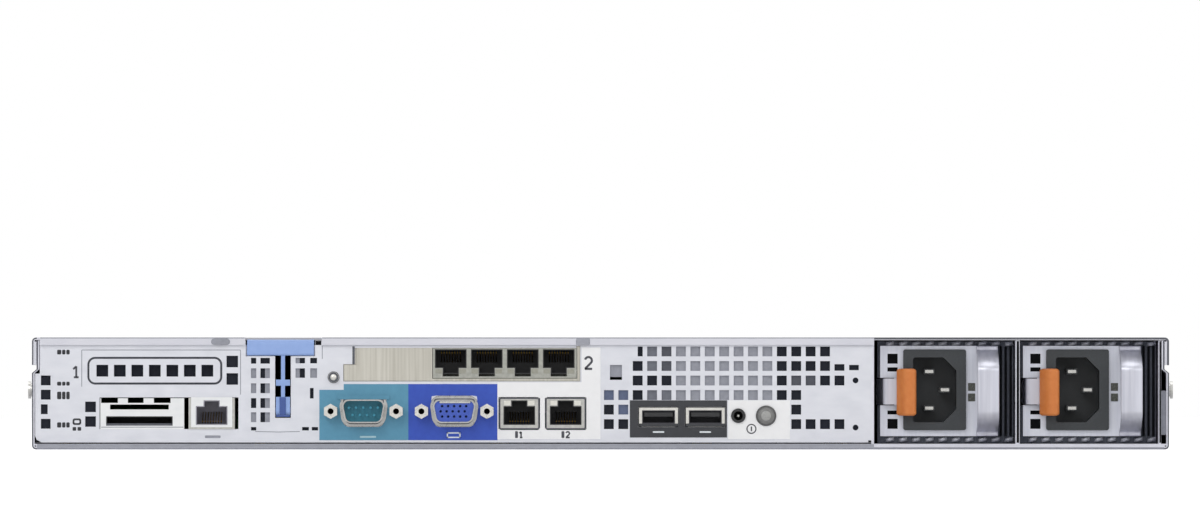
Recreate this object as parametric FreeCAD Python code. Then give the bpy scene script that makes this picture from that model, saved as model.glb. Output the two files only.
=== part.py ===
import FreeCAD, Part
import math
import os

os.makedirs("parts", exist_ok=True)

# Sizes are millimetres. Seen from the rear, x runs to the right, d runs from the rear edge of the
# tray towards the front and z runs up from the underside.

# Case
WIDTH = 434.0
HEIGHT = 42.8
DEPTH = 607.0
SHEET = 1.0
COVER_GAP = 0.2
COVER_DROP = 10.5
COVER_TRAVEL = 12.0
COVER_SIDE_GAP = 0.8
SKIRT_GAP = 1.6
JOGGLE_RISE = 1.5
BEND = 1.6
HEM_DEPTH = 14.0
HEM_TOP = 2.2
FIT = 0.3
SNUG = 0.05

# Rear wall
WALL_D = 0.4
WALL_SEAM = 0.5
LIP_DROP = 1.9
VENT = 3.75
VENT_ROW = 5.55
VENT_COLUMN = 5.5
VENT_LOW = 9.7
VENT_LEFT = 3.2
ROUND_VENT_R = 1.1

# Slot 1 filler and card reader
BLANK_X = -170.1
BLANK_Z = 30.1
BLANK_WIDTH = 49.9
BLANK_HEIGHT = 9.0
BLANK_R = 2.2
BLANK_RISE = 0.6
BLANK_GROOVE = 0.8
BLANK_SEAT = 1.4
BLANK_HOLE = 4.5
BLANK_PITCH = 6.68
BLANK_HOLES = 7
MODULE_LEFT = -191.2
MODULE_RIGHT = -138.2
MODULE_TOP = 19.9
READER_RIGHT = -158.9
READER_DEPTH = 26.0
CARD_SLOT_WIDTH = 25.4
CARD_SLOT_HEIGHT = 3.6
CARD_SLOT_X = -176.0
CARD_SLOT_Z = 10.9

# Jacks
JACK_WIDTH = 15.2
JACK_DEPTH = 16.0
JACK_HEIGHT = 11.9
JACK_CAVITY = 12.1
JACK_CAVITY_HEIGHT = 7.2
JACK_FLOOR = 1.6
JACK_TONGUE = 6.2
JACK_TONGUE_RISE = 2.2
JACK_REACH = 12.5
MANAGEMENT_X = -148.4
MANAGEMENT_WIDTH = 17.6
LAN_X = -31.0
LAN_PITCH = 17.7

# Slot 2 network card
GANG_X = -36.54
GANG_PITCH = 13.74
GANG_COUNT = 4
GANG_WALL = 0.8
GANG_TOP = 38.7
GANG_HEIGHT = 11.4
NET_LEFT = -98.2
NET_STEP = -93.8
NET_RIGHT = -7.7
NET_LOW = 26.0
NET_MID = 32.6
NET_TOP = 39.5
NET_STEP_GAP = 0.9
NET_TAIL = -106.2
NET_CARD_DEPTH = 70.0
CARD_THICK = 1.6
SLOT_SCREW_X = -101.9
SLOT_SCREW_Z = 27.6
SLOT_SCREW_R = 2.0
SLOT_SHANK_R = 1.25

# Serial and video ports
SERIAL_X = -90.45
VIDEO_X = -55.8
PORT_Z = 14.6
PORT_SCREWS = 24.99
PORT_FLANGE = 31.0
PORT_FLANGE_HEIGHT = 12.5
PORT_FLANGE_THICK = 0.8
SHELL_WIDTH = 17.0
SHELL_HEIGHT = 9.0
SHELL_R = 2.6
SHELL_WALL = 0.5
SHELL_REACH = 5.6
SHELL_RIM = 1.2
PORT_BODY = 10.0
PIN_R = 0.5
PIN_PITCH = 2.76
PIN_ROW = 2.84
SOCKET_PITCH = 2.29
SOCKET_ROW = 1.98
JACKSCREW_FLATS = 5.0
JACKSCREW_REACH = 5.0
JACKSCREW_HOLE_R = 1.15
JACKSCREW_SHANK_R = 1.4

# USB ports, identification jack and button
USB_X = 22.15
USB_PITCH = 17.85
USB_WIDTH = 14.8
USB_HEIGHT = 7.1
USB_Z = 12.45
USB_CAVITY = 12.6
USB_CAVITY_HEIGHT = 5.1
USB_DEPTH = 14.0
USB_TONGUE = 11.1
USB_TONGUE_THICK = 1.8
ID_Z = 12.9
ID_JACK_X = 52.6
ID_JACK_R = 2.7
ID_JACK_BORE_R = 1.75
ID_JACK_DEPTH = 13.0
ID_BUTTON_X = 63.2
ID_BUTTON_R = 3.8
ID_BUTTON_REACH = 1.2
ID_BUTTON_DEPTH = 4.0

# Card latch
LATCH_CAP_LEFT = -134.9
LATCH_CAP_RIGHT = -109.4
LATCH_CAP_LOW = 35.9
LATCH_CAP_TOP = 42.0
LATCH_CAP_DEPTH = 7.0
LATCH_X = -121.2
LATCH_TAB = 5.4
LATCH_RIB = 1.5
LATCH_PIVOT_D = 3.0
LATCH_PIVOT_Z = 15.0
LATCH_KNUCKLE_R = 2.6
LATCH_PIN_R = 1.2
LATCH_LUG = 1.5
LATCH_NOTCH = 0.5

# Power supplies
PSU_LEFT = 105.9
PSU_PITCH = 54.6
PSU_COUNT = 2
PSU_WIDTH = 52.0
PSU_BOTTOM = 2.5
PSU_TOP = 41.3
PSU_FACE_D = 8.0
PSU_LENGTH = 200.0
PSU_BLOCK = 56.0
BAY_LEFT = 104.4
BAY_FOOT = 7.0
WING_LEFT = 27.0
WING_RIGHT = 68.0
WING_D = 17.0
WING_STRAP = 2.0
FACE_LEFT = 1.0
FACE_WIDTH = 45.0
FACE_LOW = 5.1
FACE_TOP = 39.6
INLET_X = 21.8
INLET_Z = 22.8
INLET_WIDTH = 24.0
INLET_HEIGHT = 30.9
INLET_RIM = 2.2
INLET_BODY = 20.6
INLET_BODY_HEIGHT = 27.5
INLET_BODY_DEPTH = 18.0
INLET_CAVITY = 16.6
INLET_CAVITY_HEIGHT = 24.8
INLET_CAVITY_DEPTH = 16.0
INLET_CHAMFER = 5.0
BLADE_WIDTH = 4.0
BLADE_THICK = 2.0
BLADE_GAP = 14.0
BLADE_LINE = 2.0
BLADE_EARTH = 4.0
BLADE_LENGTH = 12.0
HANDLE_X = 41.9
HANDLE_WIDTH = 8.2
HANDLE_THICK = 1.2
HANDLE_REACH = 10.0
HANDLE_FOOT = 4.2
HANDLE_SLOPE = 5.0
SPRING_X = 2.4
SPRING_THICK = 0.8
SPRING_LOW = 17.2
SPRING_TOP = 27.1
SPRING_ROOT_D = 52.0
SPRING_ROOT_R = 0.9
SPRING_LEG_D = 3.6
SPRING_SWING = 3.6
PAD_LEFT = 5.7
PAD_RIGHT = 13.9
PAD_LOW = 13.4
PAD_TOP = 30.6
PAD_REACH = 2.6
FIN_SLOTS = 3
FIN_SLOT = 1.0
FIN_PITCH = 1.9
POWER_PLUG = 4.7

# Board and what stands on it
STANDOFF = 5.2
STANDOFF_R = 2.8
BOARD = 1.6
BOARD_LEFT = -213.0
BOARD_RIGHT = 101.5
BOARD_D = 2.8
BOARD_DEPTH = 327.0
CPU_X = -55.0
CPU_D = 222.0
CPU_SIZE = 60.0
CPU_HEIGHT = 6.0
SINK_WIDTH = 76.0
SINK_DEPTH = 100.0
SINK_BASE = 4.0
SINK_TOP = 39.0
SINK_FINS = 19
SINK_FIN = 0.8
MEMORY_PITCH = 9.4
MEMORY_LEFT = -126.0
MEMORY_RIGHT = -3.0
MEMORY_SIDE = 3
MEMORY_D = 222.0
MEMORY_LENGTH = 133.35
MEMORY_HEIGHT = 30.0
MEMORY_THICK = 1.3
CARD_SEAT = 2.4
SOCKET_WIDTH = 6.5
SOCKET_HEIGHT = 5.8
RISER_1_X = -136.8
RISER_1_D = 90.0
RISER_2_X = -5.2
RISER_2_D = 60.0
RISER_LENGTH = 80.0
RISER_TOP = 38.8
SLOT_REACH = 8.4
SLOT_HEIGHT = 7.0
SHROUD = 1.2
SHROUD_LEFT = -132.0
SHROUD_RIGHT = 22.0
SHROUD_D = 148.0
SHROUD_GAP = 46.0
SHROUD_TOP = 41.4

# Fans
FAN_COUNT = 4
FAN_PITCH = 104.0
FAN_SIZE = 40.0
FAN_GAP = 8.2
FAN_DEPTH = 28.0
FAN_BORE_R = 18.8
FAN_HUB_R = 10.5
FAN_SHAFT_R = 1.5
FAN_STATOR_R = 9.0
FAN_STATOR = 4.0
FAN_STRUT = 2.0
FAN_BLADES = 7
BLADE_ROOT_R = 9.5
BLADE_TIP_R = 17.0
BLADE_SWEEP = 5.0
BLADE_CHORD = 7.6
BLADE_CAMBER = -1.2
BLADE = 1.0

# Cover latch
POCKET_X = 44.0
POCKET_GAP = 4.0
POCKET_DEPTH = 52.0
POCKET_DROP = 5.0
LEVER_WIDTH = 40.0
LEVER_THICK = 4.2
LEVER_INSET = 10.0
LEVER_LENGTH = 36.0
LEVER_NOSE = 1.6
LEVER_PIN_R = 1.5

# Drives and front
BAYS = 4
BAY_PITCH = 108.0
SHELF_Z = 28.8
SHELF = 0.4
CARRIER_WIDTH = 106.2
CARRIER_BOTTOM = 1.3
CARRIER_FLOOR = 0.8
CARRIER_RAIL_HEIGHT = 20.0
CARRIER_BEZEL = 9.0
CARRIER_BEZEL_TOP = 28.4
DISK_WIDTH = 101.6
DISK_HEIGHT = 26.1
DISK_LENGTH = 147.0
DISK_GAP = 2.0
GRIP_THICK = 4.0
GRIP_HEIGHT = 12.0
GRIP_Z = 15.0
GRIP_INSET = 7.0
GRIP_PIN_R = 1.2
GRIP_LUG = 2.6
DISK_PLUG = 5.4
CAGE_REACH = 9.6
ROOF_GAP = 0.4
PANEL_THICK = 2.0
POWER_X = -197.0
POWER_R = 4.8
POWER_REACH = 0.8
POWER_DEPTH = 5.0
PANEL_SLOT = 3.0
PANEL_SLOT_HEIGHT = 7.0
PANEL_SLOT_PITCH = 7.5
PANEL_SLOTS = 40
FRONT_USB_X = 172.0
USB_FRONT_PITCH = 21.0
EAR_WIDTH = 24.3
RACK_HOLE_INSET = 8.75
RACK_HOLE_RISE = 31.75
RACK_SLOT = 10.0
RACK_SLOT_R = 3.4
EAR_THICK = 2.0
EAR_LEG = 40.0
EAR_LEG_THICK = 1.5
STUD_Z = 22.75
STUD_NECK_R = 2.5
STUD_NECK = 1.2
STUD_HEAD_R = 3.3
STUD_HEAD = 1.0
STUD_REAR = 20.0
STUD_FRONT = 67.0

# Heights and faces that follow from the sizes above
CARRIER_D = DEPTH - PANEL_THICK
FRONT_REACH = CARRIER_D + FIT + GRIP_THICK - DEPTH
REAR_Y = (HANDLE_REACH - FRONT_REACH - DEPTH) / 2
SIDE = WIDTH / 2
INSET = SHEET + COVER_SIDE_GAP
JOGGLE_HIGH = HEIGHT - COVER_DROP - SKIRT_GAP
JOGGLE_LOW = JOGGLE_HIGH - JOGGLE_RISE
COVER_LOW = HEIGHT - SHEET
WALL_TOP = COVER_LOW - COVER_GAP
WALL_BACK = WALL_D + SHEET
BOARD_TOP = SHEET + STANDOFF + BOARD
PSU_BACK = PSU_FACE_D + SHEET
FAN_D = BOARD_D + BOARD_DEPTH + FAN_GAP
FAN_Z = SHEET + FAN_SIZE / 2
BAY_DEPTH = PSU_BACK + PSU_LENGTH + FIT + POWER_PLUG
DISK_BACK = CARRIER_D - CARRIER_BEZEL - DISK_GAP
BACKPLANE_D = DISK_BACK - DISK_LENGTH - DISK_PLUG - BOARD
CAGE_D = BACKPLANE_D - CAGE_REACH
COVER_DEPTH = CAGE_D - ROOF_GAP
POCKET_D = COVER_DEPTH - POCKET_GAP - POCKET_DEPTH
LEVER_PIVOT_D = POCKET_D + POCKET_DEPTH - LEVER_INSET
PANEL_Z = (SHELF_Z + COVER_LOW) / 2


def vec(x, d, z):
    return FreeCAD.Vector(x, d, z)


def span(middle, size):
    return (middle - size / 2, middle + size / 2)


def grow(pair, margin):
    return (pair[0] - margin, pair[1] + margin)


def block(x, d, z):
    """Box between (low, high) pairs."""
    return Part.makeBox(x[1] - x[0], d[1] - d[0], z[1] - z[0], vec(x[0], d[0], z[0]))


def rod_x(x, d, z, radius):
    return Part.makeCylinder(radius, x[1] - x[0], vec(x[0], d, z), vec(1, 0, 0))


def rod_d(x, d, z, radius):
    return Part.makeCylinder(radius, d[1] - d[0], vec(x, d[0], z), vec(0, 1, 0))


def rod_z(x, d, z, radius):
    return Part.makeCylinder(radius, z[1] - z[0], vec(x, d, z[0]), vec(0, 0, 1))


def outline(points, place):
    """Closed wire through (u, v) points; a third value rounds that corner. place(u, v) gives space."""
    corners = []
    for i, point in enumerate(points):
        here = place(point[0], point[1])
        before = place(points[i - 1][0], points[i - 1][1])
        after = place(points[(i + 1) % len(points)][0], points[(i + 1) % len(points)][1])
        radius = point[2] if len(point) > 2 else 0
        if radius == 0:
            corners.append((here, None, here))
            continue
        towards = (before - here).normalize()
        away = (after - here).normalize()
        half = towards.getAngle(away) / 2
        reach = radius / math.tan(half)
        middle = here + (towards + away).normalize() * (radius / math.sin(half) - radius)
        corners.append((here + towards * reach, middle, here + away * reach))
    edges = []
    for i, (start, middle, end) in enumerate(corners):
        if middle is not None:
            edges.append(Part.Arc(start, middle, end).toShape())
        following = corners[(i + 1) % len(corners)][0]
        if (following - end).Length > 1e-6:
            edges.append(Part.LineSegment(end, following).toShape())
    return Part.Wire(edges)


def circle(x, z, radius, d=0.0):
    return Part.Wire(Part.makeCircle(radius, vec(x, d, z), vec(0, 1, 0)))


def polygon(x, z, radius, sides, start=0.0):
    """Points of a regular polygon about x, z."""
    turns = [start + 2 * math.pi * k / sides for k in range(sides)]
    return [(x + radius * math.cos(t), z + radius * math.sin(t)) for t in turns]


def rect(x, z, radius=0.0):
    return [(x[0], z[0], radius), (x[1], z[0], radius), (x[1], z[1], radius), (x[0], z[1], radius)]


def plate(points, d, holes=(), round_holes=()):
    """Flat piece seen from the rear, between two depths, with its openings."""
    wires = [outline(points, lambda u, v: vec(u, d[0], v))]
    wires += [outline(hole, lambda u, v: vec(u, d[0], v)) for hole in holes]
    wires += [circle(x, z, radius, d[0]) for x, z, radius in round_holes]
    face = Part.makeFace(wires, "Part::FaceMakerBullseye")
    return face.extrude(vec(0, d[1] - d[0], 0))


def side_profile(points, x):
    """Piece with one outline in d and z, carried across from x[0] to x[1]."""
    wire = outline(points, lambda u, v: vec(x[0], u, v))
    return Part.Face(wire).extrude(vec(x[1] - x[0], 0, 0))


def top_profile(points, z):
    """Piece with one outline in x and d, carried up from z[0] to z[1]."""
    wire = outline(points, lambda u, v: vec(u, v, z[0]))
    return Part.Face(wire).extrude(vec(0, 0, z[1] - z[0]))


def strip(points, thick):
    """Outline of a bent strip: the path and a copy of it set off to its left by thick."""
    other = []
    for i, (u, v) in enumerate(points):
        normals = []
        for a, b in ((i - 1, i), (i, i + 1)):
            if a < 0 or b >= len(points):
                continue
            run = (points[b][0] - points[a][0], points[b][1] - points[a][1])
            length = math.hypot(run[0], run[1])
            normals.append((-run[1] / length, run[0] / length))
        sum_u = sum(n[0] for n in normals)
        sum_v = sum(n[1] for n in normals)
        share = thick * len(normals) / (sum_u * sum_u + sum_v * sum_v)
        other.append((u + sum_u * share, v + sum_v * share))
    return list(points) + other[::-1]


def fuse(first, *others):
    return first.fuse(list(others)).removeSplitter()


def cut(first, *others):
    return first.cut(list(others))


def save(name, *solids):
    shape = solids[0] if len(solids) == 1 else Part.Compound(list(solids))
    shape = shape.copy()
    shape.translate(vec(0, REAR_Y, 0))
    shape.exportStep("parts/" + name + ".step")


# The tray is one bent sheet. Its walls step in under the cover's skirts so that both end flush.
def base_tray():
    right = [
        (SIDE, 0, BEND),
        (SIDE, JOGGLE_LOW),
        (SIDE - INSET, JOGGLE_HIGH),
        (SIDE - INSET, WALL_TOP),
        (SIDE - INSET - SHEET, WALL_TOP),
        (SIDE - INSET - SHEET, JOGGLE_HIGH),
        (SIDE - SHEET, JOGGLE_LOW),
        (SIDE - SHEET, SHEET, BEND - SHEET),
    ]
    left = [(-point[0],) + point[1:] for point in right[::-1]]
    folded = plate(right + left, (0, DEPTH))
    hem = block((SHEET - SIDE, SIDE - SHEET), (0, HEM_DEPTH), (SHEET / 2, HEM_TOP))
    corners = [block(span(s * SIDE, 2 * BEND), (0, HEM_DEPTH), (SHEET / 2, BEND)) for s in (-1, 1)]
    return fuse(folded, cut(hem, *corners))


def vent_holes():
    """Square vents of the rear wall, by row from the bottom and the columns that each row has."""
    rows = {
        0: [0, 1] + list(range(13, 17)),
        1: [0, 1, 13],
        2: [0, 1] + list(range(2, 14)),
        3: list(range(2, 17)),
        4: list(range(2, 16)),
        5: list(range(3, 16)),
    }
    holes = []
    for row, columns in rows.items():
        z = VENT_LOW + row * VENT_ROW
        for column in columns:
            x = VENT_LEFT + column * VENT_COLUMN
            holes.append(rect(span(x, VENT), span(z, VENT)))
    return holes


def odd_holes():
    """Vents of the left half and the part-width vents beside the brackets."""
    latch_rows = [12.35, 17.75, 23.4, 29.15]
    holes = [rect((-213.6, -209.9), span(z, VENT)) for z in (9.85, 20.95, 26.4)]
    holes += [rect((-213.6, -211.0), span(15.4, VENT))]
    holes += [rect(span(-194.65, 4.1), span(z, 4.0)) for z in (10.7, 16.3)]
    holes += [rect(span(-140.55, 4.4), span(z, 4.4)) for z in (26.95, 33.6)]
    holes += [rect((-129.8, -126.2), span(z, VENT)) for z in latch_rows]
    holes += [rect((-133.4, -131.4), span(z, VENT)) for z in latch_rows]
    holes += [rect(x, (32.8, 35.0)) for x in ((-133.4, -131.4), (-129.8, -126.2))]
    for x in ((-116.4, -112.8), (-110.8, -108.2)):
        holes += [rect(x, z) for z in ((27.4, 31.0), (32.9, 35.0))]
    holes += [rect((-110.9, -109.5), (19.5, 23.5))]
    holes += [rect(x, (7.3, 8.6)) for x in ((-133.4, -131.4), (-113.9, -111.3), (-110.2, -107.8))]
    holes += [rect((3.6, 8.2), (26.6, 32.3))]
    holes += [rect((14.2, 16.1), span(VENT_LOW + 5 * VENT_ROW, VENT))]
    holes += [rect((89.3, 93.1), (30.1, 32.6)), rect((94.9, 98.6), (30.3, 32.3))]
    return holes


def port_holes():
    """Openings of the rear wall that follow the pieces standing in them."""
    field = (span(BLANK_X, BLANK_WIDTH), span(BLANK_Z, BLANK_HEIGHT))
    blank = rect(*[grow(side, BLANK_GROOVE) for side in field], BLANK_R + BLANK_GROOVE)
    module = rect((MODULE_LEFT, MODULE_RIGHT), (BOARD_TOP, MODULE_TOP))
    net = [
        (NET_LEFT, NET_LOW),
        (NET_RIGHT, NET_LOW),
        (NET_RIGHT, NET_TOP),
        (NET_STEP, NET_TOP),
        (NET_STEP, NET_MID),
        (NET_LEFT, NET_MID),
    ]
    holes = [blank, module, net]
    holes += [shell_outline(x, SHELL_RIM + FIT) for x in (SERIAL_X, VIDEO_X)]
    for i in range(2):
        lan = span(LAN_X + i * LAN_PITCH, JACK_WIDTH)
        holes.append(rect(grow(lan, FIT), (BOARD_TOP - FIT, BOARD_TOP + JACK_HEIGHT + FIT)))
        usb = span(USB_X + i * USB_PITCH, USB_WIDTH)
        holes.append(rect(grow(usb, FIT), grow(span(USB_Z, USB_HEIGHT), FIT)))
    return holes


def rear_wall():
    low_edge = SIDE - SHEET - COVER_GAP
    high_edge = SIDE - INSET - SHEET - COVER_GAP
    right = BAY_LEFT - SHEET
    notch = grow((LATCH_CAP_LEFT, LATCH_CAP_RIGHT), LATCH_NOTCH)
    slot = grow(span(LATCH_X, LATCH_TAB), FIT)
    slot_low = LATCH_PIVOT_Z - LATCH_KNUCKLE_R - FIT
    notch_low = LATCH_CAP_LOW - FIT
    border = [
        (-low_edge, HEM_TOP + WALL_SEAM),
        (right, HEM_TOP + WALL_SEAM),
        (right, WALL_TOP),
        (notch[1], WALL_TOP),
        (notch[1], notch_low),
        (slot[1], notch_low),
        (slot[1], slot_low),
        (slot[0], slot_low),
        (slot[0], notch_low),
        (notch[0], notch_low),
        (notch[0], WALL_TOP),
        (-high_edge, WALL_TOP),
        (-high_edge, JOGGLE_LOW - COVER_GAP),
        (-low_edge, JOGGLE_LOW - COVER_GAP),
    ]
    rounds = [(97.35, 26.4, ROUND_VENT_R), (97.35, 8.4, ROUND_VENT_R)]
    rounds.append((SLOT_SCREW_X, SLOT_SCREW_Z, SLOT_SHANK_R + SNUG))
    rounds.append((ID_JACK_X, ID_Z, ID_JACK_R + SNUG))
    rounds.append((ID_BUTTON_X, ID_Z, ID_BUTTON_R + 2 * SNUG))
    for x in (SERIAL_X, VIDEO_X):
        rounds += [(hole, PORT_Z, JACKSCREW_SHANK_R + SNUG) for hole in span(x, PORT_SCREWS)]
    sheet = plate(border, (WALL_D, WALL_BACK), vent_holes() + odd_holes() + port_holes(), rounds)
    lugs = []
    for edge in (slot[0] - LATCH_LUG, slot[1]):
        lug = block((edge, edge + LATCH_LUG), (WALL_BACK, 2 * LATCH_PIVOT_D), span(LATCH_PIVOT_Z, 6))
        pin = rod_x((edge - 1, edge + LATCH_LUG + 1), LATCH_PIVOT_D, LATCH_PIVOT_Z, LATCH_PIN_R + SNUG)
        lugs.append(cut(lug, pin))
    return [sheet] + lugs


# Each bay wall stands on the tray's floor and on the hem, with a foot along the floor.
def bay_wall(x, feet):
    edge = [
        (WALL_D, HEM_TOP),
        (HEM_DEPTH, HEM_TOP),
        (HEM_DEPTH, SHEET),
        (BAY_DEPTH, SHEET),
        (BAY_DEPTH, WALL_TOP),
        (WALL_D, WALL_TOP),
    ]
    wall = side_profile(edge, x)
    foot = (HEM_DEPTH, BAY_DEPTH)
    pieces = []
    if "right" in feet:
        pieces.append(block((x[1], x[1] + BAY_FOOT), foot, (SHEET, 2 * SHEET)))
    if "left" in feet:
        pieces.append(block((x[0] - BAY_FOOT, x[0]), foot, (SHEET, 2 * SHEET)))
    return fuse(wall, *pieces)


def psu_bay_walls():
    left = bay_wall((BAY_LEFT - SHEET, BAY_LEFT), ["right"])
    wing_d = (WING_D, WING_D + SHEET)
    wing = block((WING_LEFT, WING_RIGHT), wing_d, (BOARD_TOP, WALL_TOP))
    strap = block((WING_RIGHT, BAY_LEFT - SHEET), wing_d, (WALL_TOP - WING_STRAP, WALL_TOP))
    gap = PSU_PITCH - PSU_WIDTH
    middle = span(PSU_LEFT + PSU_WIDTH + gap / 2, gap - 1.0)
    far = PSU_LEFT + (PSU_COUNT - 1) * PSU_PITCH + PSU_WIDTH + 0.5
    right = bay_wall((far, far + SHEET), [])
    return [fuse(left, wing, strap), bay_wall(middle, []), right]


def rail_studs():
    studs = []
    for side in (-1, 1):
        for d in (STUD_REAR, (STUD_REAR + DEPTH - STUD_FRONT) / 2, DEPTH - STUD_FRONT):
            neck = rod_x((SIDE, SIDE + STUD_NECK), d, STUD_Z, STUD_NECK_R)
            head = rod_x((SIDE + STUD_NECK, SIDE + STUD_NECK + STUD_HEAD), d, STUD_Z, STUD_HEAD_R)
            stud = fuse(neck, head)
            if side < 0:
                stud = stud.mirror(vec(0, 0, 0), vec(1, 0, 0))
            studs.append(stud)
    return studs


# The filler seats behind the wall and shows its embossed field through the opening.
def slot_1_blank():
    holes = []
    for i in range(BLANK_HOLES):
        x = BLANK_X + (i - (BLANK_HOLES - 1) / 2) * BLANK_PITCH
        holes.append(rect(span(x, BLANK_HOLE), span(BLANK_Z, BLANK_HOLE)))
    field = (span(BLANK_X, BLANK_WIDTH), span(BLANK_Z, BLANK_HEIGHT))
    back = rect(*[grow(side, BLANK_GROOVE + BLANK_SEAT) for side in field])
    seat = plate(back, (WALL_BACK, WALL_BACK + SHEET), holes)
    emboss = plate(rect(*field, BLANK_R), (WALL_D - BLANK_RISE, WALL_BACK), holes)
    return fuse(seat, emboss)


def media_slot():
    left = MODULE_LEFT + FIT
    top = MODULE_TOP - FIT
    notch_low = top - 1.8
    border = [(left, BOARD_TOP), (READER_RIGHT, BOARD_TOP), (READER_RIGHT, top)]
    for right, notch_left in ((-164.1, -170.5), (-174.4, -180.4), (-184.2, -190.6)):
        border += [(right, top), (right, notch_low), (notch_left, notch_low), (notch_left, top)]
    border.append((left, top))
    card = span(CARD_SLOT_X, CARD_SLOT_WIDTH)
    card_z = span(CARD_SLOT_Z, CARD_SLOT_HEIGHT)
    upper = rect((-187.2, -164.8), (15.3, 17.2))
    face = plate(border, (WALL_D, WALL_BACK), [rect(card, card_z), upper])
    body = block((-190.0, -161.5), (WALL_BACK, READER_DEPTH), (BOARD_TOP, 15.0))
    return fuse(face, cut(body, block(card, (WALL_BACK, READER_DEPTH - 2), card_z)))


# A jack is a shielded box with a cavity and a stepped tongue recess on one side of it.
def jack(x, z, width, tongue_up, height=JACK_HEIGHT):
    d = (WALL_D - 0.4, WALL_D - 0.4 + JACK_DEPTH)
    reach = (d[0] - 1, d[0] + JACK_REACH)
    body = block(span(x, width), d, (z, z + height))
    return cut(body, *jack_cavity(x, z, reach, tongue_up, height))


def jack_cavity(x, z, reach, tongue_up, height):
    low = z + JACK_FLOOR
    if not tongue_up:
        low = z + height - JACK_FLOOR - JACK_CAVITY_HEIGHT + 1.2
    high = low + JACK_CAVITY_HEIGHT
    recess = (high - 1, high + JACK_TONGUE_RISE) if tongue_up else (low - JACK_TONGUE_RISE - 1, low + 1)
    main = block(span(x, JACK_CAVITY), reach, (low, high))
    tongue = block(span(x, JACK_TONGUE), reach, recess)
    return [main, tongue]


def ethernet_jacks():
    jacks = [jack(MANAGEMENT_X, BOARD_TOP, MANAGEMENT_WIDTH, True)]
    for i in range(2):
        jacks.append(jack(LAN_X + i * LAN_PITCH, BOARD_TOP, JACK_WIDTH, True))
    return jacks


def gang_span():
    width = (GANG_COUNT - 1) * GANG_PITCH + JACK_CAVITY + 2 * GANG_WALL
    return span(GANG_X, width)


def network_jacks():
    d = (WALL_D - 0.4, WALL_D - 0.4 + JACK_DEPTH)
    low = GANG_TOP - GANG_HEIGHT
    cavities = []
    for i in range(GANG_COUNT):
        x = GANG_X + (i - (GANG_COUNT - 1) / 2) * GANG_PITCH
        cavities += jack_cavity(x, low, (d[0] - 1, d[0] + JACK_REACH), False, GANG_HEIGHT)
    return cut(block(gang_span(), d, (low, GANG_TOP)), *cavities)


def network_bracket():
    window = rect(grow(gang_span(), COVER_GAP), (GANG_TOP - GANG_HEIGHT - COVER_GAP, GANG_TOP + COVER_GAP))
    front = [
        (NET_LEFT + FIT, NET_LOW + FIT),
        (NET_RIGHT - FIT, NET_LOW + FIT),
        (NET_RIGHT - FIT, NET_TOP - FIT),
        (NET_STEP + NET_STEP_GAP, NET_TOP - FIT),
        (NET_STEP + NET_STEP_GAP, NET_MID - FIT),
        (NET_LEFT + FIT, NET_MID - FIT),
    ]
    face = plate(front, (WALL_D, WALL_BACK), [window])
    back = rect((NET_TAIL, NET_RIGHT + 1.5), (NET_LOW - 1.5, NET_TOP + 1.2))
    hole = (SLOT_SCREW_X, SLOT_SCREW_Z, SLOT_SHANK_R + SNUG)
    seat = plate(back, (WALL_BACK, WALL_BACK + SHEET), [window], [hole])
    return fuse(face, seat)


def network_card():
    top = GANG_TOP - GANG_HEIGHT
    end = RISER_2_X - BOARD / 2 - SLOT_REACH
    card = block((NET_LEFT + 3, end), (BOARD_D, NET_CARD_DEPTH), (top - CARD_THICK, top))
    chip = block(span(GANG_X, 20), (30, 50), (top, top + 3))
    return [card, chip]


def slot_screw():
    head = rod_d(SLOT_SCREW_X, (WALL_D - 1.5, WALL_D), SLOT_SCREW_Z, SLOT_SCREW_R)
    rim = [edge for edge in head.Edges if edge.BoundBox.YMax < WALL_D - 1 and edge.Closed]
    head = head.makeChamfer(0.8, rim)
    return fuse(head, rod_d(SLOT_SCREW_X, (WALL_D, WALL_BACK + SHEET), SLOT_SCREW_Z, SLOT_SHANK_R))


def shell_outline(x, margin):
    """D outline of a port, wide at the top, with rounded corners; margin grows it all round."""
    lean = SHELL_HEIGHT * math.tan(math.radians(10))
    half = SHELL_WIDTH / 2 + margin
    high = PORT_Z + SHELL_HEIGHT / 2 + margin
    low = PORT_Z - SHELL_HEIGHT / 2 - margin
    radius = SHELL_R + margin
    return [
        (x - half + lean, low, radius),
        (x + half - lean, low, radius),
        (x + half, high, radius),
        (x - half, high, radius),
    ]


# A port's shell is a drawn D tube on a flange; the rim at its foot shows round the tube.
def port_shell(x):
    flange_d = (WALL_BACK, WALL_BACK + PORT_FLANGE_THICK)
    flange = rect(span(x, PORT_FLANGE), span(PORT_Z, PORT_FLANGE_HEIGHT), 1.0)
    screws = [(hole, PORT_Z, JACKSCREW_SHANK_R + SNUG) for hole in span(x, PORT_SCREWS)]
    bore = shell_outline(x, -SHELL_WALL)
    base = plate(flange, flange_d, [bore], screws)
    rim = plate(shell_outline(x, SHELL_RIM), (WALL_D - 0.5, WALL_BACK), [bore])
    tube = plate(shell_outline(x, 0), (WALL_D - SHELL_REACH, WALL_D - 0.5), [bore])
    return fuse(base, rim, tube)


def port_body(x):
    back = (WALL_BACK + PORT_FLANGE_THICK, WALL_BACK + PORT_FLANGE_THICK + PORT_BODY)
    width = PORT_SCREWS - 2 * JACKSCREW_FLATS
    return block(span(x, width), back, (BOARD_TOP, PORT_Z + SHELL_HEIGHT / 2 + 1))


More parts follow.
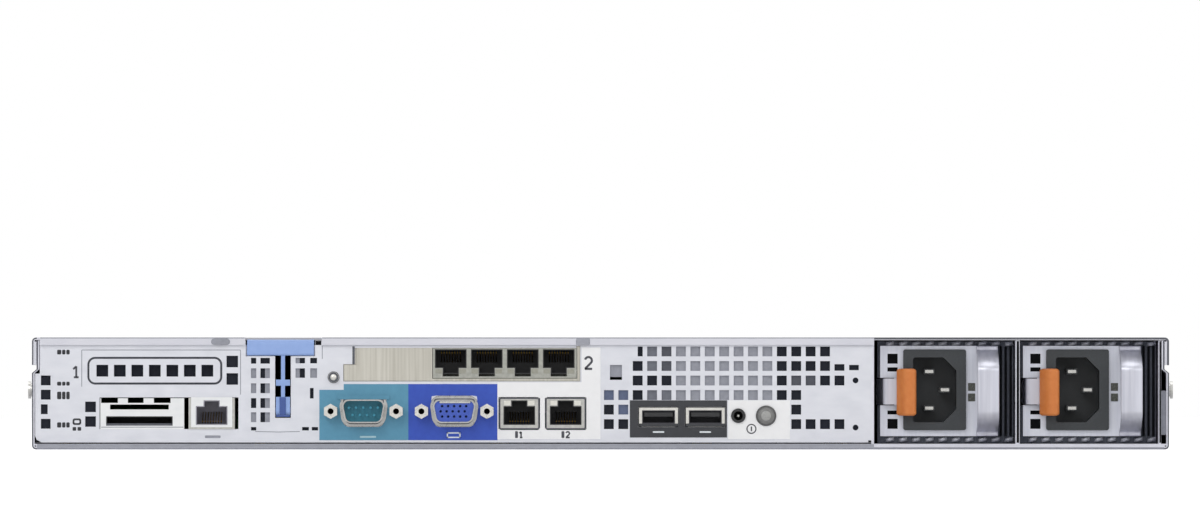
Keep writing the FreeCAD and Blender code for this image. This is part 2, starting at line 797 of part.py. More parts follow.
def serial_core():
    floor = WALL_D - 0.6
    flange_back = WALL_BACK + PORT_FLANGE_THICK
    plug = plate(shell_outline(SERIAL_X, -SHELL_WALL - SNUG), (floor, flange_back))
    core = fuse(plug, port_body(SERIAL_X))
    pins = []
    for count, z in ((5, PORT_Z + PIN_ROW / 2), (4, PORT_Z - PIN_ROW / 2)):
        for i in range(count):
            x = SERIAL_X + (i - (count - 1) / 2) * PIN_PITCH
            pins.append(plate(polygon(x, z, PIN_R, 8), (WALL_D - SHELL_REACH + 0.8, floor)))
    return [core] + pins


def video_core():
    front = WALL_D - SHELL_REACH + 0.4
    flange_back = WALL_BACK + PORT_FLANGE_THICK
    plug = plate(shell_outline(VIDEO_X, -SHELL_WALL - SNUG), (front, flange_back))
    holes = []
    for row in (-1, 0, 1):
        for i in range(5):
            x = VIDEO_X + (i - 2) * SOCKET_PITCH - (0.5 if row == 0 else 0) * SOCKET_PITCH / 2
            holes.append(plate(polygon(x, PORT_Z + row * SOCKET_ROW, PIN_R, 8), (front - 1, front + 4)))
    return fuse(cut(plug, *holes), port_body(VIDEO_X))


def jackscrews():
    screws = []
    reach = (WALL_D - JACKSCREW_REACH, WALL_D)
    corner = JACKSCREW_FLATS / math.sqrt(3)
    for x in span(SERIAL_X, PORT_SCREWS) + span(VIDEO_X, PORT_SCREWS):
        head = plate(polygon(x, PORT_Z, corner, 6, math.pi / 6), reach)
        shank = rod_d(x, (WALL_D, WALL_BACK + PORT_FLANGE_THICK), PORT_Z, JACKSCREW_SHANK_R)
        thread = rod_d(x, (reach[0] - 1, reach[1] - 0.6), PORT_Z, JACKSCREW_HOLE_R)
        screws.append(cut(fuse(head, shank), thread))
    return screws


def usb_port(x, z, d, foot):
    """Port whose mouth is at d[0] and back at d[1], standing on a foot between two heights."""
    inward = 1 if d[1] > d[0] else -1
    run = (min(d), max(d))
    shell = block(span(x, USB_WIDTH), run, span(z, USB_HEIGHT))
    stand = block(span(x, USB_WIDTH - 2), grow(run, -3 * SHEET), foot)
    mouth = sorted((d[0] - inward, d[1] - 2 * inward))
    cavity = block(span(x, USB_CAVITY), mouth, span(z, USB_CAVITY_HEIGHT))
    tongue_d = sorted((d[0] + 0.8 * inward, d[1] - 2 * inward))
    tongue = block(span(x, USB_TONGUE), tongue_d, span(z + 0.9, USB_TONGUE_THICK))
    return fuse(cut(fuse(shell, stand), cavity), tongue)


def usb_ports():
    ports = []
    rear = WALL_D - 0.6
    front = DEPTH + 0.2
    for i in range(2):
        foot = (BOARD_TOP, USB_Z - USB_HEIGHT / 2)
        ports.append(usb_port(USB_X + i * USB_PITCH, USB_Z, (rear, rear + USB_DEPTH), foot))
        foot = (SHELF_Z + SHELF, PANEL_Z - USB_HEIGHT / 2)
        x = FRONT_USB_X + i * USB_FRONT_PITCH
        ports.append(usb_port(x, PANEL_Z, (front, front - USB_DEPTH), foot))
    return ports


def id_jack():
    barrel = rod_d(ID_JACK_X, (WALL_D - 0.8, WALL_BACK + 1), ID_Z, ID_JACK_R)
    body_d = (WALL_BACK + 1, ID_JACK_DEPTH)
    body = block(span(ID_JACK_X, 6.4), body_d, (BOARD_TOP, ID_Z + 3.2))
    bore = rod_d(ID_JACK_X, (WALL_D - 2, ID_JACK_DEPTH - 2), ID_Z, ID_JACK_BORE_R)
    return cut(fuse(barrel, body), bore)


def id_button():
    d = (WALL_D - ID_BUTTON_REACH, WALL_D - ID_BUTTON_REACH + ID_BUTTON_DEPTH)
    cap = rod_d(ID_BUTTON_X, d, ID_Z, ID_BUTTON_R)
    rim = [edge for edge in cap.Edges if edge.Closed and edge.BoundBox.YMax < d[0] + 0.1]
    return cap.makeChamfer(0.6, rim)


# The latch hangs on two pins behind the wall. Its knuckle is round about them so that it can swing.
def card_latch():
    tab = span(LATCH_X, LATCH_TAB)
    front = LATCH_PIVOT_D - LATCH_KNUCKLE_R
    knuckle = rod_x(tab, LATCH_PIVOT_D, LATCH_PIVOT_Z, LATCH_KNUCKLE_R)
    paddle = block(tab, (front, LATCH_PIVOT_D), (LATCH_PIVOT_Z, 20.1))
    bar = block(tab, (front, front + 2), (24.4, 26.7))
    rib = block(span(LATCH_X, LATCH_RIB), (front, LATCH_PIVOT_D), (20.1, LATCH_CAP_LOW))
    cap_edge = [
        (-0.4, LATCH_CAP_LOW, 0.8),
        (LATCH_CAP_DEPTH, LATCH_CAP_LOW),
        (LATCH_CAP_DEPTH, LATCH_CAP_TOP, 1.5),
        (0.6, LATCH_CAP_TOP, 2.0),
    ]
    cap = side_profile(cap_edge, (LATCH_CAP_LEFT, LATCH_CAP_RIGHT))
    pins = rod_x(grow(tab, FIT + LATCH_LUG), LATCH_PIVOT_D, LATCH_PIVOT_Z, LATCH_PIN_R)
    return fuse(knuckle, paddle, bar, rib, cap, pins)


def psu_case(left):
    x = (left, left + PSU_WIDTH)
    z = (PSU_BOTTOM, PSU_TOP)
    body = block(x, (PSU_BACK, PSU_BACK + PSU_LENGTH), z)
    end = PSU_BACK + PSU_LENGTH
    hollow = block(grow(x, -SHEET), (PSU_BLOCK, end - SHEET), grow(z, -SHEET))
    vents = []
    for i in range(6):
        vents.append(block(span(left + 8 + 7 * i, 4), (end - 2 * SHEET, end + 1), (24, 38)))
    pocket_z = (SPRING_LOW - FIT, SPRING_TOP + FIT)
    swing = SPRING_X + SPRING_THICK / 2 + SPRING_SWING
    pocket = block((left - 1, left + swing), (PSU_BACK - 1, SPRING_ROOT_D), pocket_z)
    seat = rod_z(left + SPRING_X, SPRING_ROOT_D, pocket_z, SPRING_ROOT_R + SNUG)
    inlet_x = span(left + INLET_X, INLET_BODY + 2 * COVER_GAP)
    inlet_z = span(INLET_Z, INLET_BODY_HEIGHT + 2 * COVER_GAP)
    inlet = block(inlet_x, (PSU_BACK - 1, PSU_BACK + INLET_BODY_DEPTH), inlet_z)
    fins = []
    first = left + (FACE_LEFT + FACE_WIDTH + PSU_WIDTH) / 2 - (FIN_SLOTS - 1) / 2 * FIN_PITCH
    for i in range(FIN_SLOTS):
        slot = span(first + i * FIN_PITCH, FIN_SLOT)
        fins.append(block(slot, (PSU_BACK - 1, PSU_BACK + 6), (FACE_LOW, FACE_TOP)))
    return cut(body, hollow, pocket, seat, inlet, *vents, *fins)


def psu_face(left):
    x = (left + FACE_LEFT, left + FACE_LEFT + FACE_WIDTH)
    swing = left + SPRING_X + SPRING_THICK / 2 + SPRING_SWING
    border = [
        (x[0], FACE_LOW),
        (x[1], FACE_LOW),
        (x[1], FACE_TOP),
        (x[0], FACE_TOP),
        (x[0], SPRING_TOP + FIT),
        (swing, SPRING_TOP + FIT),
        (swing, SPRING_LOW - FIT),
        (x[0], SPRING_LOW - FIT),
    ]
    inlet_x = span(left + INLET_X, INLET_BODY + 2 * COVER_GAP)
    holes = [rect(inlet_x, span(INLET_Z, INLET_BODY_HEIGHT + 2 * COVER_GAP))]
    vents = (left + 3.8, left + 7.7)
    holes += [rect(vents, z) for z in ((7.9, 11.7), (13.4, 14.9), (29.8, 31.4), (32.8, 36.6))]
    return plate(border, (PSU_FACE_D, PSU_BACK), holes)


# The inlet stands on its side: line and neutral blades at the left, earth between the cut corners.
def psu_inlet(left):
    x = left + INLET_X
    rim_d = (PSU_FACE_D - INLET_RIM, PSU_FACE_D)
    rim = plate(rect(span(x, INLET_WIDTH), span(INLET_Z, INLET_HEIGHT), 0.9), rim_d)
    body_d = (PSU_FACE_D, PSU_BACK + INLET_BODY_DEPTH)
    body = block(span(x, INLET_BODY), body_d, span(INLET_Z, INLET_BODY_HEIGHT))
    sides = span(x, INLET_CAVITY)
    ends = span(INLET_Z, INLET_CAVITY_HEIGHT)
    cavity = [
        (sides[0], ends[0], 1.0),
        (sides[1] - INLET_CHAMFER, ends[0]),
        (sides[1], ends[0] + INLET_CHAMFER),
        (sides[1], ends[1] - INLET_CHAMFER),
        (sides[1] - INLET_CHAMFER, ends[1]),
        (sides[0], ends[1], 1.0),
    ]
    floor = rim_d[0] + INLET_CAVITY_DEPTH
    socket = plate(cavity, (rim_d[0] - 1, floor))
    blades = []
    for dx, dz in ((-BLADE_LINE, BLADE_GAP / 2), (-BLADE_LINE, -BLADE_GAP / 2), (BLADE_EARTH, 0)):
        where = (span(x + dx, BLADE_WIDTH), (floor - BLADE_LENGTH, floor), span(INLET_Z + dz, BLADE_THICK))
        blades.append(block(*where))
    return [cut(fuse(rim, body), socket)] + blades


# The handle is a strap with a foot at each end, bent out far enough for a finger.
def psu_handle(left):
    front = -HANDLE_REACH + HANDLE_THICK
    foot = PSU_FACE_D
    path = [
        (foot, FACE_LOW),
        (foot, FACE_LOW + HANDLE_FOOT),
        (front, FACE_LOW + HANDLE_FOOT + HANDLE_SLOPE),
        (front, FACE_TOP - HANDLE_FOOT - HANDLE_SLOPE),
        (foot, FACE_TOP - HANDLE_FOOT),
        (foot, FACE_TOP),
    ]
    return side_profile(strip(path, HANDLE_THICK), span(left + HANDLE_X, HANDLE_WIDTH))


# The catch is a leaf that turns at its root in the case; its bent leg carries the thumb pad.
def psu_latch(left):
    near = left + SPRING_X - SPRING_THICK / 2
    far = near + SPRING_THICK
    leg = (SPRING_LEG_D, SPRING_LEG_D + SPRING_THICK)
    z = (SPRING_LOW, SPRING_TOP)
    leaf = [
        (near, leg[0]),
        (left + PAD_RIGHT - 1, leg[0]),
        (left + PAD_RIGHT - 1, leg[1]),
        (far, leg[1]),
        (far, SPRING_ROOT_D),
        (near, SPRING_ROOT_D),
        (near, 26),
        (left - COVER_GAP, 25),
        (near, 16),
    ]
    arm = fuse(top_profile(leaf, z), rod_z(left + SPRING_X, SPRING_ROOT_D, z, SPRING_ROOT_R))
    crown = [
        (left + PAD_LEFT, leg[0]),
        (left + PAD_LEFT, leg[0] - 1.2, 0.5),
        (left + PAD_RIGHT - 3.0, -PAD_REACH, 1.5),
        (left + PAD_RIGHT, -PAD_REACH, 1.2),
        (left + PAD_RIGHT, leg[0]),
    ]
    pad = top_profile(crown, (PAD_LOW, PAD_TOP))
    return [arm, pad]


def slot_stand(x, d, length, card, low):
    """Connector on the board with a slot in which a card of that thickness and length stands."""
    stand = block(span(x, SOCKET_WIDTH), span(d, length + 8), (BOARD_TOP, BOARD_TOP + SOCKET_HEIGHT))
    return cut(stand, block(span(x, card + 4 * SNUG), span(d, length + 1), (low, HEIGHT)))


def memory_places():
    left = [MEMORY_LEFT + i * MEMORY_PITCH for i in range(MEMORY_SIDE)]
    right = [MEMORY_RIGHT + i * MEMORY_PITCH for i in range(MEMORY_SIDE)]
    return left + right


def motherboard():
    sheet_z = (BOARD_TOP - BOARD, BOARD_TOP)
    sheet = block((BOARD_LEFT, BOARD_RIGHT), (BOARD_D, BOARD_D + BOARD_DEPTH), sheet_z)
    seat = (BOARD_TOP, BOARD_TOP + CPU_HEIGHT)
    parts = [sheet, block(span(CPU_X, CPU_SIZE), span(CPU_D, CPU_SIZE), seat)]
    low = BOARD_TOP + CARD_SEAT
    for x in memory_places():
        parts.append(slot_stand(x, MEMORY_D, MEMORY_LENGTH, MEMORY_THICK, low))
    for x, d in ((RISER_1_X, RISER_1_D), (RISER_2_X, RISER_2_D)):
        parts.append(slot_stand(x, d, RISER_LENGTH, BOARD, low))
    switch_d = (WALL_D - ID_BUTTON_REACH + ID_BUTTON_DEPTH + 1.0, ID_JACK_DEPTH)
    parts.append(block(span(ID_BUTTON_X, 7), switch_d, (BOARD_TOP, ID_Z + 3)))
    return parts


def board_standoffs():
    posts = []
    for x in (BOARD_LEFT + 8, -130, -40, 40, BOARD_RIGHT - 8):
        for d in (BOARD_D + 30, BOARD_D + BOARD_DEPTH / 2, BOARD_D + BOARD_DEPTH - 10):
            posts.append(top_profile(polygon(x, d, STANDOFF_R, 6), (SHEET, SHEET + STANDOFF)))
    return posts


def heatsink():
    low = BOARD_TOP + CPU_HEIGHT
    x = span(CPU_X, SINK_WIDTH)
    pitch = (SINK_WIDTH - SINK_FIN) / (SINK_FINS - 1)
    comb = [(x[0], low), (x[1], low), (x[1], SINK_TOP)]
    for i in range(SINK_FINS - 1):
        edge = x[1] - SINK_FIN - i * pitch
        following = edge - pitch + SINK_FIN
        comb += [(edge, SINK_TOP), (edge, low + SINK_BASE)]
        comb += [(following, low + SINK_BASE), (following, SINK_TOP)]
    comb.append((x[0], SINK_TOP))
    return plate(comb, span(CPU_D, SINK_DEPTH))


def memory_modules():
    low = BOARD_TOP + CARD_SEAT
    z = (low, low + MEMORY_HEIGHT)
    return [block(span(x, MEMORY_THICK), span(MEMORY_D, MEMORY_LENGTH), z) for x in memory_places()]


def riser_cards():
    low = BOARD_TOP + CARD_SEAT
    cards = []
    for x, d in ((RISER_1_X, RISER_1_D), (RISER_2_X, RISER_2_D)):
        card = block(span(x, BOARD), span(d, RISER_LENGTH), (low, RISER_TOP))
        reach = (x - BOARD / 2 - SLOT_REACH, x - BOARD / 2)
        middle = GANG_TOP - GANG_HEIGHT - CARD_THICK / 2
        cards += [card, block(reach, span(d, RISER_LENGTH - 8), span(middle, SLOT_HEIGHT))]
    return cards


def air_shroud():
    x = (SHROUD_LEFT, SHROUD_RIGHT)
    edge = [
        (x[0], BOARD_TOP),
        (x[0] + SHROUD, BOARD_TOP),
        (x[0] + SHROUD, SHROUD_TOP - SHROUD),
        (x[1] - SHROUD, SHROUD_TOP - SHROUD),
        (x[1] - SHROUD, BOARD_TOP),
        (x[1], BOARD_TOP),
        (x[1], SHROUD_TOP, 2.0),
        (x[0], SHROUD_TOP, 2.0),
    ]
    return plate(edge, (SHROUD_D, POCKET_D - SHROUD_GAP))


def fan_places():
    return [(i - (FAN_COUNT - 1) / 2) * FAN_PITCH for i in range(FAN_COUNT)]


def fan_frame(x):
    d = (FAN_D, FAN_D + FAN_DEPTH)
    frame = plate(rect(span(x, FAN_SIZE), span(FAN_Z, FAN_SIZE)), d, [], [(x, FAN_Z, FAN_BORE_R)])
    stator_d = (d[1] - FAN_STATOR, d[1])
    stator = rod_d(x, stator_d, FAN_Z, FAN_STATOR_R)
    level = block(span(x, 2 * FAN_BORE_R + 0.6), stator_d, span(FAN_Z, FAN_STRUT))
    upright = block(span(x, FAN_STRUT), stator_d, span(FAN_Z, 2 * FAN_BORE_R + 0.6))
    shaft = rod_d(x, (d[0] + 6.5, stator_d[0]), FAN_Z, FAN_SHAFT_R)
    return fuse(frame, stator, level, upright, shaft)


# A blade is a slab with one bend along its middle, carried straight out from the hub.
def fan_rotor(x):
    hub_d = (FAN_D + 4, FAN_D + FAN_DEPTH - FAN_STATOR - 0.5)
    middle = (hub_d[0] + hub_d[1]) / 2
    hub = plate(polygon(x, FAN_Z, FAN_HUB_R, 3 * FAN_BLADES, math.pi / (3 * FAN_BLADES)), hub_d)
    path = [
        (-BLADE_SWEEP, middle - BLADE_CHORD),
        (BLADE_CAMBER, middle),
        (BLADE_SWEEP, middle + BLADE_CHORD),
    ]
    section = strip(path, BLADE)
    wire = outline(section, lambda u, v: vec(x + u, v, FAN_Z + BLADE_ROOT_R))
    blade = Part.Face(wire).extrude(vec(0, 0, BLADE_TIP_R - BLADE_ROOT_R))
    blades = []
    for i in range(FAN_BLADES):
        turned = blade.copy()
        turned.rotate(vec(x, 0, FAN_Z), vec(0, 1, 0), 360 * i / FAN_BLADES)
        blades.append(turned)
    bore = rod_d(x, (FAN_D + 5.5, hub_d[1] + 1), FAN_Z, FAN_SHAFT_R + SNUG)
    return cut(fuse(hub, *blades), bore)


def power_board():
    left = BAY_LEFT + 0.6
    right = PSU_LEFT + (PSU_COUNT - 1) * PSU_PITCH + PSU_WIDTH
    board = block((left, right), (BAY_DEPTH, BAY_DEPTH + BOARD), (SHEET + 2, WALL_TOP - 2))
    parts = [board]
    for i in range(PSU_COUNT):
        x = PSU_LEFT + i * PSU_PITCH + PSU_WIDTH / 2
        parts.append(block(span(x, 36), (PSU_BACK + PSU_LENGTH + FIT, BAY_DEPTH), (6, 16)))
    return parts


def skirted_roof(d):
    """Sheet over the tray with a skirt down each side."""
    edge = [
        (-SIDE, HEIGHT - COVER_DROP),
        (SHEET - SIDE, HEIGHT - COVER_DROP),
        (SHEET - SIDE, COVER_LOW),
        (SIDE - SHEET, COVER_LOW),
        (SIDE - SHEET, HEIGHT - COVER_DROP),
        (SIDE, HEIGHT - COVER_DROP),
        (SIDE, HEIGHT, BEND),
        (-SIDE, HEIGHT, BEND),
    ]
    return plate(edge, d)


# The lid's rear lip hangs outside the wall and is cut away for the card latch and two notches.
def top_cover():
    roof = skirted_roof((0, COVER_DEPTH))
    lip_low = COVER_LOW - LIP_DROP
    lip = block((3 - SIDE, BAY_LEFT), (-SHEET, 0), (lip_low, HEIGHT))
    gap_x = (LATCH_CAP_LEFT - 0.7, LATCH_CAP_RIGHT + 3)
    latch_gap = block(gap_x, (-2, LATCH_CAP_DEPTH + COVER_TRAVEL + 1), (0, HEIGHT + 1))
    half_round = rod_d(-145.0, (-2, 0), lip_low, 2.0)
    square = block((-9.3, -4.0), (-2, 0), (lip_low - 1, COVER_LOW))
    pocket_x = (-POCKET_X / 2, POCKET_X / 2)
    pocket_d = (POCKET_D, POCKET_D + POCKET_DEPTH)
    floor = COVER_LOW - POCKET_DROP
    tub = block(grow(pocket_x, SHEET), grow(pocket_d, SHEET), (floor, HEIGHT))
    hollow = block(pocket_x, pocket_d, (floor + SHEET, HEIGHT + 1))
    pin_x = (-POCKET_X, POCKET_X)
    pin = rod_x(pin_x, LEVER_PIVOT_D, lever_axis_z(), LEVER_PIN_R + SNUG)
    cover = cut(fuse(roof, lip), latch_gap, half_round, square)
    return cut(fuse(cover, tub), hollow, pin)


def lever_axis_z():
    return HEIGHT - COVER_GAP - LEVER_THICK / 2


def cover_latch():
    top = HEIGHT - COVER_GAP
    d = (LEVER_PIVOT_D - LEVER_LENGTH, LEVER_PIVOT_D + LEVER_NOSE)
    edge = [
        (d[0], top - LEVER_THICK + 1.5),
        (d[0] + 8, top - LEVER_THICK, 3.0),
        (d[1], top - LEVER_THICK, 1.0),
        (d[1], top, 1.0),
        (d[0], top),
    ]
    lever = side_profile(edge, span(0, LEVER_WIDTH))
    grip = block(span(0, LEVER_WIDTH - 14), (d[0] + 5, d[0] + 14), (top - 1.4, top + 1))
    pins = rod_x(span(0, POCKET_X + SHEET), LEVER_PIVOT_D, lever_axis_z(), LEVER_PIN_R)
    return fuse(cut(lever, grip), pins)


def bay_middles():
    return [(i - (BAYS - 1) / 2) * BAY_PITCH for i in range(BAYS)]


def drive_cage():
    d = (CAGE_D, DEPTH - PANEL_THICK)
    roof = skirted_roof((CAGE_D, DEPTH))
    leg = SIDE - INSET - SHEET
    shelf = block((-leg, leg), d, (SHELF_Z, SHELF_Z + SHELF))
    back = block((-leg, leg), (CAGE_D, CAGE_D + SHEET), (SHELF_Z, COVER_LOW))
    pieces = [shelf, back]
    for side in (-1, 1):
        pieces.append(block(span(side * (leg - SHEET / 2), SHEET), d, (SHELF_Z, COVER_LOW)))
    for i in range(BAYS - 1):
        x = (i - (BAYS - 2) / 2) * BAY_PITCH
        wall_d = (BACKPLANE_D + BOARD, CARRIER_D - CARRIER_BEZEL)
        pieces.append(block(span(x, SHEET), wall_d, (SHEET, SHELF_Z)))
    return fuse(roof, *pieces)


def backplane():
    x = grow((-SIDE, SIDE), -2 * SHEET)
    board = block(x, (BACKPLANE_D, BACKPLANE_D + BOARD), (SHEET, SHELF_Z))
    parts = [board]
    for middle in bay_middles():
        plug_d = (BACKPLANE_D + BOARD, DISK_BACK - DISK_LENGTH - FIT)
        parts.append(block(span(middle - 25, 40), plug_d, (4, 10)))
    return parts


def drive_carrier(x):
    wide = span(x, CARRIER_WIDTH)
    z = CARRIER_BOTTOM
    back = CARRIER_D - CARRIER_BEZEL
    tray_d = (DISK_BACK - DISK_LENGTH, back)
    floor = block(wide, tray_d, (z, z + CARRIER_FLOOR))
    window = block(grow(wide, -22), (tray_d[0] + 20, back - 20), (z - 1, z + 2))
    rail = (CARRIER_WIDTH - DISK_WIDTH) / 2
    rails = []
    for edge in (wide[0], wide[1] - rail):
        rails.append(block((edge, edge + rail), tray_d, (z, z + CARRIER_RAIL_HEIGHT)))
    slots = []
    for i in range(9):
        slot_x = span(x + (i - 4) * 10, 6.0)
        slots.append(rect(slot_x, (GRIP_Z + GRIP_HEIGHT / 2 + 1.5, CARRIER_BEZEL_TOP - 1.5)))
    bezel = plate(rect(wide, (z, CARRIER_BEZEL_TOP)), (back, CARRIER_D), slots)
    lugs = []
    pivot = grip_pivot(x)
    for low in (GRIP_Z + GRIP_HEIGHT / 2 + FIT, GRIP_Z - GRIP_HEIGHT / 2 - FIT - GRIP_LUG):
        lugs.append(block(span(pivot[0], 5), (CARRIER_D, CARRIER_D + GRIP_THICK), (low, low + GRIP_LUG)))
    holes = rod_z(pivot[0], pivot[1], span(GRIP_Z, 4 * GRIP_HEIGHT), GRIP_PIN_R + SNUG)
    body = fuse(cut(floor, window), bezel, *rails)
    return fuse(body, *[cut(lug, holes) for lug in lugs])


def grip_pivot(x):
    return (x - CARRIER_WIDTH / 2 + GRIP_INSET, CARRIER_D + FIT + GRIP_THICK / 2)


def drive_disk(x):
    z = CARRIER_BOTTOM + CARRIER_FLOOR
    return block(span(x, DISK_WIDTH), (DISK_BACK - DISK_LENGTH, DISK_BACK), (z, z + DISK_HEIGHT))


def drive_handle(x):
    pivot = grip_pivot(x)
    tall = span(GRIP_Z, GRIP_HEIGHT)
    half = GRIP_THICK / 2
    end = x + CARRIER_WIDTH / 2 - GRIP_INSET
    knuckle = rod_z(pivot[0], pivot[1], tall, half)
    bar = block((pivot[0], end), (pivot[1] - half, pivot[1] + half), tall)
    dip = block((end - 16, end - 3), (pivot[1] - half - 1, pivot[1]), grow(tall, -2.5))
    pins = rod_z(pivot[0], pivot[1], grow(tall, FIT + GRIP_LUG), GRIP_PIN_R)
    return fuse(cut(bar, dip), knuckle, pins)


def control_panel():
    edge = SIDE - INSET - SHEET
    low = SHELF_Z
    holes = []
    for i in range(PANEL_SLOTS):
        x = (i - (PANEL_SLOTS - 1) / 2) * PANEL_SLOT_PITCH
        holes.append(rect(span(x, PANEL_SLOT), span(PANEL_Z, PANEL_SLOT_HEIGHT)))
    for x in (FRONT_USB_X, FRONT_USB_X + USB_FRONT_PITCH):
        holes.append(rect(grow(span(x, USB_WIDTH), FIT), grow(span(PANEL_Z, USB_HEIGHT), FIT)))
    power = [(POWER_X, PANEL_Z, POWER_R + 2 * SNUG)]
    border = rect((-edge, edge), (low, COVER_LOW))
    return plate(border, (DEPTH - PANEL_THICK, DEPTH), holes, power)


def power_button():
    d = (DEPTH + POWER_REACH - POWER_DEPTH, DEPTH + POWER_REACH)
    cap = rod_d(POWER_X, d, PANEL_Z, POWER_R)
    rim = [edge for edge in cap.Edges if edge.Closed and edge.BoundBox.YMin > d[1] - 0.1]
    return cap.makeChamfer(0.5, rim)


def rack_ears():
    ears = []
    middle = HEIGHT / 2
    for side in (-1, 1):
        slots = []
        for z in span(middle, RACK_HOLE_RISE):
            x = span(SIDE + EAR_WIDTH - RACK_HOLE_INSET, RACK_SLOT)
            slots.append(rect(x, span(z, 2 * RACK_SLOT_R), RACK_SLOT_R))
        border = rect((SIDE, SIDE + EAR_WIDTH), (0.4, HEIGHT - 0.4), 1.0)
        flange = plate(border, (DEPTH - EAR_THICK, DEPTH), slots)
        leg = block((SIDE, SIDE + EAR_LEG_THICK), (DEPTH - EAR_LEG, DEPTH), (3, JOGGLE_LOW - 1))
        ear = fuse(flange, leg)
        if side < 0:
            ear = ear.mirror(vec(0, 0, 0), vec(1, 0, 0))
        ears.append(ear)
    return ears


save("base_tray", base_tray())
save("rear_wall", *rear_wall())
save("psu_bay_walls", *psu_bay_walls())
save("rail_studs", *rail_studs())
save("slot_1_blank", slot_1_blank())
save("media_slot", media_slot())
save("ethernet_jacks", *ethernet_jacks())
save("network_jacks", network_jacks())
save("network_bracket", network_bracket())
save("network_card", *network_card())
save("serial_shell", port_shell(SERIAL_X))
save("serial_core", *serial_core())
save("video_shell", port_shell(VIDEO_X))
save("video_core", video_core())
save("rear_screws", slot_screw(), *jackscrews())
save("usb_ports", *usb_ports())
save("id_jack", id_jack())
save("id_button", id_button())
save("card_latch", card_latch())
for number in range(PSU_COUNT):
    place = PSU_LEFT + number * PSU_PITCH
    name = "psu_" + str(number + 1)
    save(name + "_case", psu_case(place))
    save(name + "_face", psu_face(place))
    save(name + "_inlet", *psu_inlet(place))
    save(name + "_handle", psu_handle(place))
    save(name + "_latch", *psu_latch(place))
save("motherboard", *motherboard())
save("board_standoffs", *board_standoffs())
save("heatsink", heatsink())
save("memory_modules", *memory_modules())
save("riser_cards", *riser_cards())
save("air_shroud", air_shroud())
save("fan_frames", *[fan_frame(x) for x in fan_places()])
for number, x in enumerate(fan_places()):
    save("fan_rotor_" + str(number + 1), fan_rotor(x))
save("power_board", *power_board())
save("top_cover", top_cover())
save("cover_latch", cover_latch())
save("drive_cage", drive_cage())
save("backplane", *backplane())
for number, x in enumerate(bay_middles()):
    name = "drive_" + str(number + 1)
    save(name + "_carrier", drive_carrier(x))
    save(name + "_disk", drive_disk(x))
    save(name + "_handle", drive_handle(x))
save("control_panel", control_panel())
save("power_button", power_button())
save("rack_ears", *rack_ears())
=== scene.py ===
# %% [markdown]
# # Dressing a rack server
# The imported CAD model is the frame: every sheet, port, latch and drive is already in its place.
# This lesson gives those pieces their finishes and adds what is too thin or too fine for solids:
# printed films, numbers, lamp windows, contacts, spring fingers and rounded pads.
# Seen from the rear, x runs to the right, y into the case and z up. Lengths are written in
# millimetres and turned to metres once, when a mesh is made.

# %% Load the frame
import math

import bmesh
import bpy
import numpy as np
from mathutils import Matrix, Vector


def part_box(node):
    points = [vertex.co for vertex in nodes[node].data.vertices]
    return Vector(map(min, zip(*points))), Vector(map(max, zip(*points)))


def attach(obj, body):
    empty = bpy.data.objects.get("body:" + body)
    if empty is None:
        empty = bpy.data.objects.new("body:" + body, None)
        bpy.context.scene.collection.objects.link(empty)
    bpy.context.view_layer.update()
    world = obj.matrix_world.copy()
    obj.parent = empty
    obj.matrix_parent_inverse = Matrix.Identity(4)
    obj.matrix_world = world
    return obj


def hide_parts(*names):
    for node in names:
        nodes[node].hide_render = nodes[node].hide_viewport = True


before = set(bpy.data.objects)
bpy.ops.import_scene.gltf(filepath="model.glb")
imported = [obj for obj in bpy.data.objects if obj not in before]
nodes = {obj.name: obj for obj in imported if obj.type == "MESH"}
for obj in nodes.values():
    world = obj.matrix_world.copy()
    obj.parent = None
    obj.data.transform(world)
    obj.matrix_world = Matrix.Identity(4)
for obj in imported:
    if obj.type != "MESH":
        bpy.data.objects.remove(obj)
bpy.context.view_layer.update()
MM = 0.001


def box_mm(node):
    """Lowest and highest corner of a CAD node, in millimetres."""
    low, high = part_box(node)
    return np.array(low) / MM, np.array(high) / MM


WALL = box_mm("rear_wall")[0][1]
SHEET = 1.0
HALF_WIDTH = box_mm("base_tray")[1][0]
HEIGHT = box_mm("top_cover")[1][2]
print("case", 2 * HALF_WIDTH, "by", HEIGHT, "mm, rear wall at y", WALL)

# %% [markdown]
# ## Making meshes from formulas
# Every added piece is a stack of rings: one closed outline of points, repeated along a path with
# small changes. A ring stack is a grid of two parameters, round the ring and along the stack, so
# numpy can work out all its points at once. Closing the two ends with a middle point gives a solid
# with no open seam. A loop of rings that returns to its start needs no ends at all.


# %% Ring stacks
def ring_stack(rings, loop=False):
    """Points and faces of a stack of closed rings, an array of (rings, points, 3).

    Each quad joins two neighbours on one ring to the same two on the next. Without a loop, both
    ends are closed by triangles to the mean point of the end ring.
    """
    count, around = rings.shape[:2]
    here = np.arange(around)
    after = np.roll(here, -1)
    low = np.arange(count if loop else count - 1)[:, None] * around
    high = (low + around) % (count * around)
    quads = np.stack([low + here, low + after, high + after, high + here], axis=-1).reshape(-1, 4)
    points = rings.reshape(-1, 3)
    if loop:
        return points, quads.tolist()
    middle = len(points)
    first = np.stack([after, here, np.full(around, middle)], axis=-1)
    last = np.stack([here, after, np.full(around, middle + 1)], axis=-1)
    last[:, :2] += (count - 1) * around
    points = np.concatenate([points, rings[0].mean(0)[None], rings[-1].mean(0)[None]])
    return points, quads.tolist() + first.tolist() + last.tolist()


